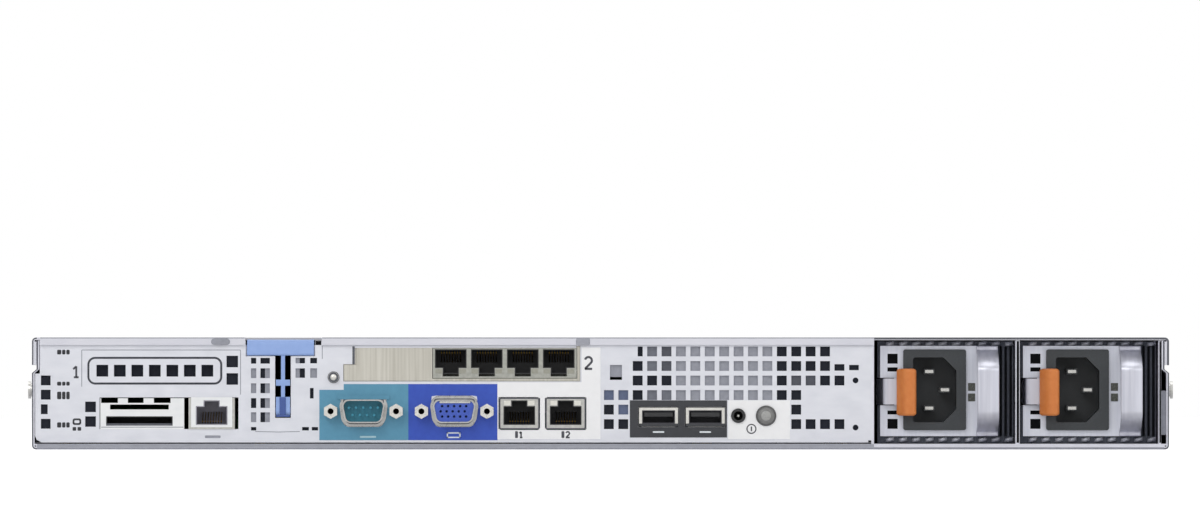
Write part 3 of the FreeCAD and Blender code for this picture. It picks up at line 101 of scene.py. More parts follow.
def add_piece(name, solids, material, body, smooth=False):
    """One object from several ring stacks, with its place in its mesh, riding on a CAD body."""
    points, faces, start = [], [], 0
    for solid_points, solid_faces in solids:
        points.append(solid_points)
        faces += [[index + start for index in face] for face in solid_faces]
        start += len(solid_points)
    mesh = bpy.data.meshes.new(name)
    mesh.from_pydata((np.concatenate(points) * MM).tolist(), [], faces)
    shell = bmesh.new()
    shell.from_mesh(mesh)
    bmesh.ops.recalc_face_normals(shell, faces=shell.faces)
    shell.to_mesh(mesh)
    shell.free()
    mesh.polygons.foreach_set("use_smooth", np.full(len(mesh.polygons), smooth))
    piece = bpy.data.objects.new(name, mesh)
    bpy.context.scene.collection.objects.link(piece)
    mesh.materials.append(material)
    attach(piece, body)
    print(name, len(mesh.polygons), "faces on", body)
    return piece


# %% [markdown]
# ## Outlines
# Most added pieces lie flat on the rear wall, so their outlines are drawn in x and z. A rounded
# rectangle is four quarter circles joined by straight runs. Moving the outline inwards by a little
# at the front face gives the worn edge of a moulding.


# %% Outlines on the rear wall
def row(values):
    """Numbers or points as one array of floats."""
    return np.asarray(values, float)


def span(middle, half):
    """Both ends of a run that reaches half to each side of its middle."""
    return middle - half, middle + half


def at_depth(outline, y):
    """Points of an outline in x and z, all set at the depth y."""
    return np.insert(outline, 1, y, axis=1)


def unit(turn):
    """Unit vectors (cos, sin) at the angles turn."""
    return np.stack([np.cos(turn), np.sin(turn)], axis=-1)


def rounded_rectangle(x, z, radius, steps=4):
    """Outline through four quarter circles: corner middle plus radius times (cos, sin)."""
    turn = np.linspace(0, np.pi / 2, steps)
    angles = np.concatenate([turn, turn + np.pi / 2, turn + np.pi, turn + 1.5 * np.pi])
    corner_x = np.repeat([x[1] - radius, x[0] + radius, x[0] + radius, x[1] - radius], steps)
    corner_z = np.repeat([z[1] - radius, z[1] - radius, z[0] + radius, z[0] + radius], steps)
    return np.stack([corner_x, corner_z], axis=-1) + radius * unit(angles)


def shrink(outline, inset):
    """The outline drawn towards its middle, by inset along x and along z."""
    low, high = outline.min(0), outline.max(0)
    middle = (low + high) / 2
    return middle + (outline - middle) * (1 - 2 * inset / (high - low))


# %% Slabs, tiles, rings and bends
def slab(outline, stations):
    """Outline carried along y; each station is (inset, y)."""
    return ring_stack(np.stack([at_depth(shrink(outline, inset), y) for inset, y in stations]))


def flat_piece(x, z, y, thick, radius=0.2, bevel=0.05):
    """Low rounded tile whose back lies at y and whose face stands out by thick."""
    outline = rounded_rectangle(x, z, radius)
    return slab(outline, [(0, y), (0, y - thick + bevel), (bevel, y - thick)])


def tiles(places, y, thick, radius=0.2, bevel=0.05):
    """A flat piece for each place, which is a run in x and a run in z."""
    return [flat_piece(x, z, y, thick, radius, bevel) for x, z in places]


def flat_ring(outer, inner, y, thick):
    """Ring between two outlines with as many points, from y towards the viewer by thick."""
    corners = ((outer, y - thick), (inner, y - thick), (inner, y), (outer, y))
    return ring_stack(np.stack([at_depth(flat, level) for flat, level in corners]), loop=True)


def bent(start, corner, end, steps=7):
    """Turn between two runs that aim at a corner: (1-t)^2 start + 2t(1-t) corner + t^2 end."""
    t = np.linspace(0, 1, steps)[:, None]
    return (1 - t) ** 2 * row(start) + 2 * t * (1 - t) * row(corner) + t ** 2 * row(end)


def both_sides(path, wide):
    """A flat path moved by half a width to its left and to its right.

    The way to the left is the normal (-dv, du) / length of a step (du, dv).
    """
    run = np.gradient(path, axis=0)
    side = np.stack([-run[:, 1], run[:, 0]], axis=-1) / np.hypot(run[:, 0], run[:, 1])[:, None] * wide / 2
    return path + side, path - side


# %% [markdown]
# ## Finishes
# A finish starts from what the real thing is made of. Each one here has two close colours that a
# noise of a real grain size mixes, a roughness that the same noise moves a little, and a bump far
# smaller than a tenth of a millimetre. One helper adds a node, sets it and links it, so that each
# finish reads as a list of what it does.


# %% Colour and node helpers
def linear(code):
    """sRGB hex, as a colour picker shows it, to the linear values that shaders use."""
    parts = [int(code[i:i + 2], 16) / 255 for i in (1, 3, 5)]
    values = [p / 12.92 if p <= 0.04045 else ((p + 0.055) / 1.055) ** 2.4 for p in parts]
    return (*values, 1.0)


def add(tree, kind, inputs=None, **settings):
    """Adds a node, applies its settings, and sets or links its inputs by name or number."""
    made = tree.nodes.new(kind)
    for key, value in settings.items():
        setattr(made, key, value)
    for socket, value in (inputs or {}).items():
        if isinstance(value, bpy.types.NodeSocket):
            tree.links.new(value, made.inputs[socket])
        else:
            made.inputs[socket].default_value = value
    return made


# %% One function for every finish
NOISE_LOW, NOISE_HIGH = 0.3, 0.7
ROUGH_SWING = 0.06
DENT = 0.01


def finish(name, dark, light, grain, metallic, roughness, bump=0.15, specular=0.5):
    """A material whose two colours are mixed by noise.

    The grain is the pattern's size in mm, one number or one each along x, y and z. Most of the
    noise lies between NOISE_LOW and NOISE_HIGH, and that range swings the roughness both ways. The
    same noise raises a bump of DENT mm, scaled by the bump's strength.
    """
    material = bpy.data.materials.new(name)
    material.use_nodes = True
    tree = material.node_tree
    tree.nodes.clear()
    place = add(tree, "ShaderNodeTexCoord")
    scale = tuple(1 / (float(size) * MM) for size in np.broadcast_to(grain, 3))
    mapping = add(tree, "ShaderNodeMapping", {"Vector": place.outputs["Object"], "Scale": scale})
    noise = add(tree, "ShaderNodeTexNoise", {"Vector": mapping.outputs[0], "Scale": 1.0, "Detail": 3.0})
    colours = {0: noise.outputs[0], 6: linear(dark), 7: linear(light)}
    colour = add(tree, "ShaderNodeMix", colours, data_type="RGBA")
    rough = add(tree, "ShaderNodeMapRange", {
        0: noise.outputs[0], 1: NOISE_LOW, 2: NOISE_HIGH,
        3: roughness - ROUGH_SWING, 4: roughness + ROUGH_SWING})
    dent = add(tree, "ShaderNodeBump", {
        "Height": noise.outputs[0], "Strength": bump, "Distance": DENT * MM})
    body = add(tree, "ShaderNodeBsdfPrincipled", {
        "Base Color": colour.outputs[2], "Roughness": rough.outputs[0], "Normal": dent.outputs[0],
        "Metallic": metallic, "Specular IOR Level": specular})
    add(tree, "ShaderNodeOutputMaterial", {0: body.outputs[0]})
    return material


# %% Zinc-plated sheet
# Bright zinc on cold-rolled sheet: pale, faintly violet, soft cloudy patches a few mm across.
zinc_sheet = finish("zinc_plated_steel_sheet", "#CDCED9", "#E2E2EA", (9, 9, 4), 0.6, 0.42)
# The rear wall is the same stock, wiped clean, and reads a little whiter.
rear_zinc = finish("zinc_plated_rear_wall", "#D2D4DC", "#E4E5EB", (7, 7, 3), 0.45, 0.45)
# The card reader's panel is the whitest sheet here.
reader_zinc = finish("zinc_plated_reader_panel", "#E2E4E6", "#F3F4F3", (6, 6, 3), 0.25, 0.5)
# Supply faces show upright rolling marks about 1 mm apart.
rolled_zinc = finish("rolled_zinc_supply_face", "#C8CBD8", "#E4E6ED", (1.1, 9, 30), 0.55, 0.38)
# The lid is a wide flat sheet, so a duller skin keeps it from mirroring the lamps.
lid_zinc = finish("passivated_zinc_lid", "#D5D6E0", "#E5E5EC", (14, 14, 6), 0.0, 0.65, specular=0.3)
# A pull strap is thicker stock, rolled smoother, with a bright line along its upper bend.
rolled_strap = finish("rolled_zinc_pull_strap", "#B8B9C6", "#DADBE4", (1.1, 9, 30), 0.5, 0.34)
# A leaf is springy strip with a soft sheen.
spring_strip = finish("rolled_steel_spring_strip", "#BEBFCB", "#D8D9E2", (1.1, 9, 30), 0.1, 0.42)
# A sheared edge of plated sheet is bare steel, darker than the faces beside it. The same dark grey also
# paints the shade in gaps, in grooves and round ports and screws.
edge_and_shade_grey = finish("sheared_edge_and_painted_shade", "#43454B", "#6C6E76", (2.5, 1, 1), 0.5, 0.55)
# The tray's folded hem faces down a little; this darker grey paints the shade it holds, and also the shade of
# a notch in the lid's lip under the square tab.
hem_shade_grey = finish("zinc_hem_painted_shade", "#90929B", "#ABADB6", (6, 1.5, 1.5), 0.4, 0.5)
# Greyer copies of the zinc paint shade: on parts inside the case, darker the deeper they lie, and in seams
# and under lips. The first also paints the light seen beside the last supply bay, and is the grey of one
# printed mark.
zinc_grey_painted_light_and_print = finish("zinc_grey_for_painted_light_and_print", "#85878F", "#A6A8B2", 1.5, 0.4, 0.55)
inner_bracket = finish("inner_bracket_painted_shade", "#62656E", "#7E818A", 1.5, 0.4, 0.55)
deep_bracket = finish("deep_bracket_painted_shade", "#484A52", "#5E6069", 1.5, 0.3, 0.6)
print("zinc done")

# %% Plated, cast and coated metals
# Nickel on a card bracket is warm, and brushed upright.
warm_nickel = finish("brushed_nickel_bracket", "#A8A498", "#DAD7CE", (0.9, 9, 40), 0.7, 0.38)
# Bright nickel on blades and studs is the shiniest metal here.
bright_nickel = finish("bright_nickel_plate", "#A9A8A5", "#E2E1DC", 1.6, 0.85, 0.26)
# Turned screws are pale, with a fine sheen from the lathe.
screw_nickel = finish("turned_nickel_screw", "#C0BEB8", "#EDEBE5", 1.2, 0.7, 0.3)
# Tin on a jack's shield is softer and greyer than nickel.
tinned_shield = finish("tinned_steel_shield", "#A2A29E", "#D2D1CC", 1.4, 0.7, 0.38)
# The four-jack block sits deeper; its tin is a darker greenish grey, painted shade.
gang_shield = finish("tin_gang_shield_painted_shade", "#8C8D86", "#BCBCB4", 1.4, 0.6, 0.45)
# The shells of D ports are deep drawn, which stretches the tin smooth.
drawn_shell = finish("drawn_tinned_port_shell", "#9A9A99", "#D0CFCC", 1.6, 0.8, 0.3)
# The rims of USB shells are the palest tin, with a warm tint.
usb_tin = finish("bright_tin_usb_shell", "#CBC9C3", "#E4E2DC", 1.6, 0.6, 0.38)
# Spring fingers are thin bronze under dull tin.
tinned_spring = finish("tinned_bronze_spring", "#8A8C94", "#B4B6BE", 0.8, 0.6, 0.42)
# A gold flash on contacts shows brown in the shade of a jack.
gold_contact = finish("gold_flashed_contact", "#6B5427", "#927538", 0.6, 1.0, 0.35)
# Drive bodies and the cooler are die-cast: pale grey with a grainy skin.
cast_aluminium = finish("cast_aluminium_drive", "#A9ABAE", "#C6C8CA", 1.5, 0.9, 0.45)
# Board posts are turned brass, yellow and fairly smooth.
turned_brass = finish("turned_brass_post", "#A8843C", "#C9A75C", 0.8, 1.0, 0.3)
# Satin black powder coat has a fine orange peel, drawn 0.8 mm wide so that it shows.
black_coat = finish("satin_black_coated_steel", "#1B1C20", "#2A2B30", 0.8, 0.0, 0.5, bump=0.3)
# The supply's case is dipped and duller, so the gaps round its face stay dark.
dull_black = finish("dipped_black_steel_case", "#3F424A", "#565962", 1.2, 0.0, 0.7, specular=0.15)
print("other metals done")

# %% Dark and coloured mouldings
# Glass-filled moulding: dark grey rather than black, with a fine spark-eroded grain.
black_moulding = finish("moulded_glass_filled_plastic", "#2C2F33", "#3D4144", 0.7, 0.0, 0.5, bump=0.25)
# Inserts of ports have a finer grain; the console jack's is grey, painted paler still to stand in for the
# light inside its recess.
socket_black = finish("moulded_jack_insert", "#1E1E20", "#2F2F31", 0.6, 0.0, 0.55)
grey_insert = finish("moulded_grey_jack_insert", "#34333A", "#48474F", 0.6, 0.0, 0.5)
console_grey = finish("console_jack_insert_painted_light", "#8C8B96", "#A6A5B0", 0.6, 0.0, 0.5)
# A dark blue-grey sheet behind the vents paints the shade inside the case; it shows as dark blue-grey, not as
# black.
vent_shade_sheet = finish("painted_shade_behind_vents", "#1B1D25", "#2C2F38", 0.5, 0.0, 0.85, bump=0.4, specular=0.2)
# Near-black paints the deep shade inside bores, vents and gaps.
deep_shade_black = finish("painted_deep_shade", "#08090B", "#121317", 0.5, 0.0, 0.8, specular=0.1)
# Coloured mouldings are tinted right through and have a soft gloss.
slate_guide = finish("moulded_slate_card_guide", "#4E5975", "#667290", 1, 0.0, 0.5)
teal_moulding = finish("moulded_teal_insulator", "#2C7C93", "#3B93AB", 1, 0.0, 0.45)
blue_moulding = finish("moulded_blue_insulator", "#334EAE", "#4764C6", 1, 0.0, 0.4)
orange_moulding = finish("moulded_orange_pad", "#C96C2A", "#DE8A46", 2.5, 0.0, 0.42)
pale_blue = finish("moulded_pale_blue_latch", "#86A3DC", "#9BB6E8", 3, 0.0, 0.42)
deep_blue = finish("moulded_blue_latch_grip", "#385090", "#4A63A4", 1.2, 0.0, 0.4)
# A button is three greys, from its skirt to a small dome on its cap, each a little glossier than the dark
# sheet behind the vents. Growing lighter towards the middle, they paint the shade round the rounded cap and a
# highlight on its top.
grey_button = finish("moulded_grey_button", "#525252", "#6A6A69", 1, 0.0, 0.35)
grey_dome = finish("moulded_grey_button_cap", "#6E6E6D", "#848483", 1, 0.0, 0.35)
highlight_grey = finish("grey_button_painted_highlight", "#969695", "#AEAEAC", 0.8, 0.0, 0.3)
# Solder mask on a board is a deep green with a smooth gloss.
board_green = finish("solder_mask_on_laminate", "#14522F", "#1F6E40", 1.6, 0.0, 0.4)
print("mouldings done")

# %% Films, inks and lenses
# Printed polyester films have a faint matt texture and an even colour.
teal_film = finish("printed_teal_film", "#528EAC", "#5F9CB8", 2, 0.0, 0.5)
blue_film = finish("printed_blue_film", "#2848B2", "#3659C2", 2, 0.0, 0.48)
white_film = finish("printed_white_film", "#F1F1F2", "#F9F9FA", 3, 0.0, 0.5)
charcoal_film = finish("printed_charcoal_film", "#2B2C31", "#383A3F", 2, 0.0, 0.5)
# Inks dry matt and a little uneven.
grey_ink = finish("dark_grey_ink", "#3E3F46", "#4D4E55", 0.8, 0.0, 0.55)
black_ink = finish("black_ink", "#1F2024", "#2D2E33", 0.8, 0.0, 0.6)
pale_ink = finish("pale_ink", "#DDE6EC", "#EEF3F5", 0.8, 0.0, 0.55)
teal_ink = finish("pale_teal_ink", "#A5C9D2", "#BAD7DE", 0.8, 0.0, 0.55)
# Unlit lamps are frosted plastic, and the supplies' windows are smoked and glossier.
lamp_lens = finish("frosted_lamp_lens", "#DAD8CE", "#F0EEE6", 0.8, 0.0, 0.35)
# The gang's lamps use the same frosted lens, darkened as painted shade.
gang_lens = finish("shaded_lamp_lens", "#8C8B7F", "#A9A89C", 0.8, 0.0, 0.4)
smoked_lens = finish("smoked_lamp_window", "#3F413C", "#54564F", 0.8, 0.0, 0.25)
print("films, inks and lenses done")

# %% Finishes of the CAD nodes
SUPPLIES, DRIVES = (1, 2), (1, 2, 3, 4)
node_finish = {
    "base_tray": zinc_sheet, "rear_wall": rear_zinc, "psu_bay_walls": zinc_sheet,
    "slot_1_blank": rear_zinc, "media_slot": reader_zinc, "top_cover": lid_zinc, "drive_cage": lid_zinc,
    "ethernet_jacks": tinned_shield, "network_jacks": gang_shield, "usb_ports": usb_tin,
    "network_bracket": warm_nickel, "network_card": board_green, "serial_shell": drawn_shell,
    "video_shell": drawn_shell, "rear_screws": screw_nickel, "rail_studs": bright_nickel,
    "serial_core": teal_moulding, "video_core": blue_moulding, "id_jack": socket_black,
    "id_button": grey_button, "power_button": grey_button, "card_latch": pale_blue,
    "motherboard": board_green, "board_standoffs": turned_brass, "heatsink": cast_aluminium,
    "memory_modules": board_green, "riser_cards": board_green, "air_shroud": black_moulding,
    "fan_frames": black_moulding, "power_board": board_green, "cover_latch": black_moulding,
    "backplane": board_green, "control_panel": black_coat, "rack_ears": black_coat,
}
for number in SUPPLIES:
    node_finish[f"psu_{number}_case"] = dull_black
    node_finish[f"psu_{number}_face"] = rolled_zinc
    node_finish[f"psu_{number}_inlet"] = black_moulding
    node_finish[f"psu_{number}_handle"] = rolled_zinc
    node_finish[f"psu_{number}_latch"] = rolled_zinc
for number in DRIVES:
    node_finish[f"fan_rotor_{number}"] = black_moulding
    node_finish[f"drive_{number}_carrier"] = black_coat
    node_finish[f"drive_{number}_disk"] = cast_aluminium
    node_finish[f"drive_{number}_handle"] = black_moulding
for name, material in node_finish.items():
    nodes[name].data.materials.clear()
    nodes[name].data.materials.append(material)
print(len(node_finish), "of", len(nodes), "CAD nodes have a finish")

# %% [markdown]
# ## Printed films round the ports
# The coloured fields are thin films stuck on the wall, cut out round each port. A film is laid out
# as cells with one hole each. A cell is a loop of four rings: its rectangle and its hole, at the
# front and at the back. Points on the rectangle look towards the hole's middle, and the hole's edge
# is found on the same line, so that any hole that bulges outwards everywhere can be cut.

# %% Films with holes
FILM = 0.12
FACING = 1e-3


def convex_edge(lines, middle, turn):
    """Points of a convex outline in the directions turn; its edge lines are (angle, distance).

    The edge in a direction t is the least distance / cos(t - angle) over the lines that face t.
    """
    angle, distance = row(lines).T
    facing = np.cos(turn[:, None] - angle)
    reach = np.where(facing > FACING, distance / np.maximum(facing, FACING), np.inf).min(1)
    return row(middle) + reach[:, None] * unit(turn)


def film_cell(x, z, hole=None, middle=None, per_side=12):
    """Rectangle with one hole, cut along the hole's convex edge lines.

    The rim goes round the rectangle by its share of the way along x and along z.
    """
    side, still = np.linspace(0, 1, per_side, endpoint=False), np.zeros(per_side)
    share = np.stack([np.concatenate([side, still + 1, 1 - side, still]),
                      np.concatenate([still, side, still + 1, 1 - side])], axis=-1)
    low, high = row([x, z]).T
    rim = low + share * (high - low)
    if hole is None:
        return ring_stack(np.stack([at_depth(rim, WALL), at_depth(rim, WALL - FILM)]))
    away = rim - row(middle)
    edge = convex_edge(hole, middle, np.arctan2(away[:, 1], away[:, 0]))
    return flat_ring(rim, edge, WALL, FILM)


# %% Edge lines of the holes
def round_hole(radius, lines=24):
    """Lines that touch a circle, evenly turned."""
    return [(turn, radius) for turn in np.linspace(0, 2 * np.pi, lines, endpoint=False)]


def square_hole(half_x, half_z):
    """Four lines, a half size away along each axis."""
    return [(0, half_x), (np.pi / 2, half_z), (np.pi, half_x), (1.5 * np.pi, half_z)]


PORT_LEAN, PORT_CORNER = math.radians(10), 2.6
CORNER_TURNS = np.linspace(0.1, 1.45, 6)


def port_hole(half_width, half_height):
    """Edge lines of a D port: level top and bottom, leaning sides, and lines round each corner."""
    lines = [(np.pi / 2, half_height), (1.5 * np.pi, half_height)]
    drift = half_height * math.tan(PORT_LEAN)
    side = (half_width - drift) * math.cos(PORT_LEAN)
    lines += [(-PORT_LEAN, side), (np.pi + PORT_LEAN, side)]
    for tip_x, up in ((half_width, 1), (half_width - 2 * drift, -1)):
        centre = row([tip_x - PORT_CORNER, half_height - PORT_CORNER])
        directions = unit(CORNER_TURNS)
        distances = directions @ centre + PORT_CORNER
        for sign in (1, -1):
            angles = np.arctan2(up * directions[:, 1], sign * directions[:, 0])
            lines += list(zip(angles, distances))
    return lines


# %% Teal and blue films
SERIAL_X, VIDEO_X, PORT_Z, PORT_SCREWS = -90.45, -55.8, 14.6, 24.99
PORT_HALF, PORT_SEAM = (10.1, 6.0), 0.15
SCREW_HOLE = 1.5
TEAL_LEFT, TEAL_STEP, TEAL_RIGHT, BLUE_RIGHT = -107.3, -98.0, -73.35, -39.35
FILM_LOW, FILM_STEP, FILM_TOP = 3.6, 22.8, 25.0


def port_film(x, left, right, z):
    """Film with a D hole between two screw holes, as three cells side by side."""
    seams = span(x, PORT_HALF[0] + PORT_SEAM)
    screws = span(x, PORT_SCREWS / 2)
    return [
        film_cell((left, seams[0]), z, round_hole(SCREW_HOLE), (screws[0], PORT_Z)),
        film_cell(seams, z, port_hole(*PORT_HALF), (x, PORT_Z)),
        film_cell((seams[1], right), z, round_hole(SCREW_HOLE), (screws[1], PORT_Z)),
    ]


teal_cells = port_film(SERIAL_X, TEAL_LEFT, TEAL_RIGHT, (FILM_LOW, FILM_STEP))
teal_cells.append(film_cell((TEAL_STEP, TEAL_RIGHT), (FILM_STEP, FILM_TOP)))
add_piece("serial_film", teal_cells, teal_film, "chassis")
blue_cells = port_film(VIDEO_X, TEAL_RIGHT, BLUE_RIGHT, (FILM_LOW, FILM_TOP))
add_piece("video_film", blue_cells, blue_film, "chassis")

# %% White and charcoal films
LAN_X, LAN_PITCH, LAN_HALF, LAN_Z = -31.0, 17.7, (7.95, 6.35), 13.75
USB_X, USB_PITCH, USB_HALF, USB_Z = 22.15, 17.85, (7.75, 3.9), 12.45
ID_JACK, ID_BUTTON, ID_Z = (52.6, 2.8), (63.2, 3.95), 12.9
LAN_FILM_RIGHT, LAN_FILM_Z, SLOT_FILM_LEFT, SLOT_FILM_TOP = 0.0, (4.0, 25.7), -7.2, 39.0
USB_FILM_X, USB_FILM_Z = (11.2, 48.3), (4.6, 18.8)
ID_FILM_X, ID_FILM_Z = (48.7, 72.3), (4.0, 18.8)
LAN_PLACES, USB_PLACES = (LAN_X, LAN_X + LAN_PITCH), (USB_X, USB_X + USB_PITCH)


def pair_film(x, z, places, height, holes):
    """Film with two holes at one height, as two cells that meet halfway between them."""
    seam = sum(places) / 2
    return [film_cell(run, z, hole, (place, height))
            for run, place, hole in zip(((x[0], seam), (seam, x[1])), places, holes)]


lan_holes, usb_holes = [square_hole(*LAN_HALF)] * 2, [square_hole(*USB_HALF)] * 2
lan_cells = pair_film((BLUE_RIGHT, LAN_FILM_RIGHT), LAN_FILM_Z, LAN_PLACES, LAN_Z, lan_holes)
lan_cells.append(film_cell((SLOT_FILM_LEFT, LAN_FILM_RIGHT), (LAN_FILM_Z[1], SLOT_FILM_TOP)))
add_piece("network_film", lan_cells, white_film, "chassis")
usb_cells = pair_film(USB_FILM_X, USB_FILM_Z, USB_PLACES, USB_Z, usb_holes)
add_piece("usb_film", usb_cells, charcoal_film, "chassis")
id_holes = [round_hole(ID_JACK[1]), round_hole(ID_BUTTON[1])]
id_cells = pair_film(ID_FILM_X, ID_FILM_Z, (ID_JACK[0], ID_BUTTON[0]), ID_Z, id_holes)
add_piece("indicator_film", id_cells, white_film, "chassis")

# %% [markdown]
# ## Jack inserts, contacts and lamps
# Inside each tinned shield is a black moulding with a T-shaped opening. It is a cup: the outline
# runs up the outside, over the mouth and down the inside to the floor. Eight sprung wires lean
# across it, and two lamps fill the corners beside the latch recess. The first jack has a grey
# insert and a white frame in place of lamps.

# %% Jack inserts
JACK_HALF, JACK_HIGH, TONGUE_HALF, TONGUE_RISE = 6.05, 7.2, 3.1, 2.2
JACK_DEEP, JACK_FLOOR, INSERT_WALL, FIT = 12.4, 0.6, 0.35, 0.02
SHIELD_FACE = box_mm("ethernet_jacks")[0][1]
JACK_MOUTH = SHIELD_FACE + 0.1


def tee_outline(x, low, up, inset):
    """Jack opening with its recess above (up 1) or below (up -1), drawn in by inset."""
    wide, narrow = JACK_HALF - inset, TONGUE_HALF - inset
    floor, roof, tip = inset, JACK_HIGH - inset, JACK_HIGH + TONGUE_RISE - inset
    half_x = row([-wide, wide, wide, narrow, narrow, -narrow, -narrow, -wide])
    rise = row([floor, floor, roof, roof, tip, tip, roof, roof])
    z = low + rise if up > 0 else low + JACK_HIGH - rise
    return np.stack([x + half_x, z], axis=-1)


def jack_insert(x, low, up):
    """Cup with a T-shaped mouth: rings up the outside, over the rim and down to the floor."""
    stations = [(FIT, JACK_DEEP), (FIT, 0), (INSERT_WALL, 0), (INSERT_WALL, JACK_DEEP - JACK_FLOOR)]
    return ring_stack(np.stack([at_depth(tee_outline(x, low, up, inset), JACK_MOUTH + deep)
                                for inset, deep in stations]))


CONSOLE_X, JACK_LOW = -148.4, 9.4
GANG_X, GANG_PITCH, GANG_LOW, GANG_COUNT = -36.54, 13.74, 31.1, 4
jack_places = [(x, JACK_LOW, 1) for x in (CONSOLE_X, *LAN_PLACES)]
jack_places += [(GANG_X + (i - (GANG_COUNT - 1) / 2) * GANG_PITCH, GANG_LOW, -1) for i in range(GANG_COUNT)]
inserts = [jack_insert(*place) for place in jack_places]
add_piece("console_insert", inserts[:1], console_grey, "chassis")

# %% Frame of the console jack
CONSOLE_HALF, CONSOLE_Z, FRAME_OUT = 7.85, (8.55, 19.95), 0.05
frame_x = CONSOLE_X + CONSOLE_HALF * row([-1, 1, 1, 1, 0, 0, -1, -1])
frame_x += TONGUE_HALF * row([0, 0, 0, 0, 1, -1, 0, 0])
shoulder = JACK_LOW + JACK_HIGH
frame_z = row([*[CONSOLE_Z[0]] * 2, shoulder, *[CONSOLE_Z[1]] * 4, shoulder])
console_ring = flat_ring(np.stack([frame_x, frame_z], axis=-1), tee_outline(*jack_places[0], 0),
                         SHIELD_FACE, FRAME_OUT)
add_piece("console_frame", [console_ring], reader_zinc, "chassis")
add_piece("jack_inserts", inserts[1:], socket_black, "chassis")

# %% Jack contacts
WIRES, WIRE_PITCH, WIRE_HALF = 8, 1.02, (0.18, 0.12)
WIRE_RISE, WIRE_DEEP = (0.7, 1.4, 4.2, 4.9), (3.0, 3.0, 9.5, 11.5)


def bar(path, across, up):
    """Square wire along a path of points; across and up are its half sizes as vectors."""
    across, up = row(across), row(up)
    corners = np.stack([-across - up, across - up, across + up, -across + up])
    return ring_stack(row(path)[:, None, :] + corners[None, :, :])


def jack_wires(x, low, up):
    """Wires side by side, each from the floor near the mouth up to the back, or mirrored."""
    rise = row(WIRE_RISE)
    z = low + (rise if up > 0 else JACK_HIGH - rise)
    y = JACK_MOUTH + row(WIRE_DEEP)
    places = x + (np.arange(WIRES) - (WIRES - 1) / 2) * WIRE_PITCH
    return [bar(np.stack([np.full(len(y), place), y, z], axis=-1), (WIRE_HALF[0], 0, 0), (0, 0, WIRE_HALF[1]))
            for place in places]


contacts = [wire for place in jack_places for wire in jack_wires(*place)]
add_piece("jack_contacts", contacts, gold_contact, "chassis")

# %% Jack lamps
LAMP_WIDE, LAMP_HIGH, LAMP_GAP, LAMP_OUT = 2.5, 1.7, 0.35, 0.12
lamp_places = []
for x, low, up in jack_places[1:]:
    z = low + JACK_HIGH + LAMP_GAP if up > 0 else low - LAMP_GAP - LAMP_HIGH
    for middle in span(x, (TONGUE_HALF + JACK_HALF) / 2):
        lamp_places.append((span(middle, LAMP_WIDE / 2), (z, z + LAMP_HIGH)))
jack_lamps = tiles(lamp_places, SHIELD_FACE, LAMP_OUT)
paired = 2 * len(LAN_PLACES)
add_piece("jack_lamps", jack_lamps[:paired], lamp_lens, "chassis")
add_piece("gang_lamps", jack_lamps[paired:], gang_lens, "chassis")

# %% [markdown]
# ## Dark linings
# A port looks black because its moulding lines the metal shell. Each lining is a cup again, this
# time with a rounded rectangle for a mouth, and the USB ports have a tongue inside. The tongue
# could be a plain box, but its rounded nose catches a line of light that a box would not.

# %% Cups and tongues
LINING_WALL, LINING_FLOOR, LINING_CORNER = 0.35, 0.5, 0.3
NOSE_INSET = 0.4


def lining(x, z, mouth, deep, inward):
    """Cup that fits an opening: rings up its outside, over the rim and down to the floor."""
    outline = rounded_rectangle(x, z, LINING_CORNER)
    return slab(outline, [(FIT, mouth + inward * deep), (FIT, mouth), (LINING_WALL, mouth),
                          (LINING_WALL, mouth + inward * (deep - LINING_FLOOR))])


def tongue(x, z, mouth, deep, inward):
    """Contact carrier whose nose draws in along a quarter ellipse over its first millimetre."""
    outline = rounded_rectangle(x, z, LINING_CORNER)
    turn = np.linspace(0, np.pi / 2, 4)
    nose = [(NOSE_INSET * (1 - math.sin(t)), mouth + inward * (1 - math.cos(t))) for t in turn]
    return slab(outline, nose + [(0, mouth + inward * deep)])


# %% Linings of the USB ports and the card reader
USB_CAVITY, USB_DEEP, USB_SET_BACK = (6.3, 2.55), 11.4, 0.25
USB_TONGUE, TONGUE_DEEP, TONGUE_SET_BACK, USB_RISE = (5.7, 1.05), 11.0, 0.3, 0.9
USB_SHELL, FRONT_PITCH = (7.4, 3.55), 21.0
port_low, port_high = box_mm("usb_ports")
front_right, front_z = port_high[0] - USB_SHELL[0], port_high[2] - USB_SHELL[1]
usb_mouths = [(x, USB_Z, port_low[1], 1) for x in USB_PLACES]
usb_mouths += [(x, front_z, port_high[1], -1) for x in (front_right - FRONT_PITCH, front_right)]
linings, tongues = [], []
for x, z, mouth, inward in usb_mouths:
    linings.append(lining(span(x, USB_CAVITY[0]), span(z, USB_CAVITY[1]),
                          mouth + USB_SET_BACK * inward, USB_DEEP, inward))
    tongues.append(tongue(span(x, USB_TONGUE[0]), span(z + USB_RISE, USB_TONGUE[1]),
                          mouth + TONGUE_SET_BACK * inward, TONGUE_DEEP, inward))
add_piece("usb_linings", linings, grey_insert, "chassis")
add_piece("usb_tongues", tongues, socket_black, "chassis")
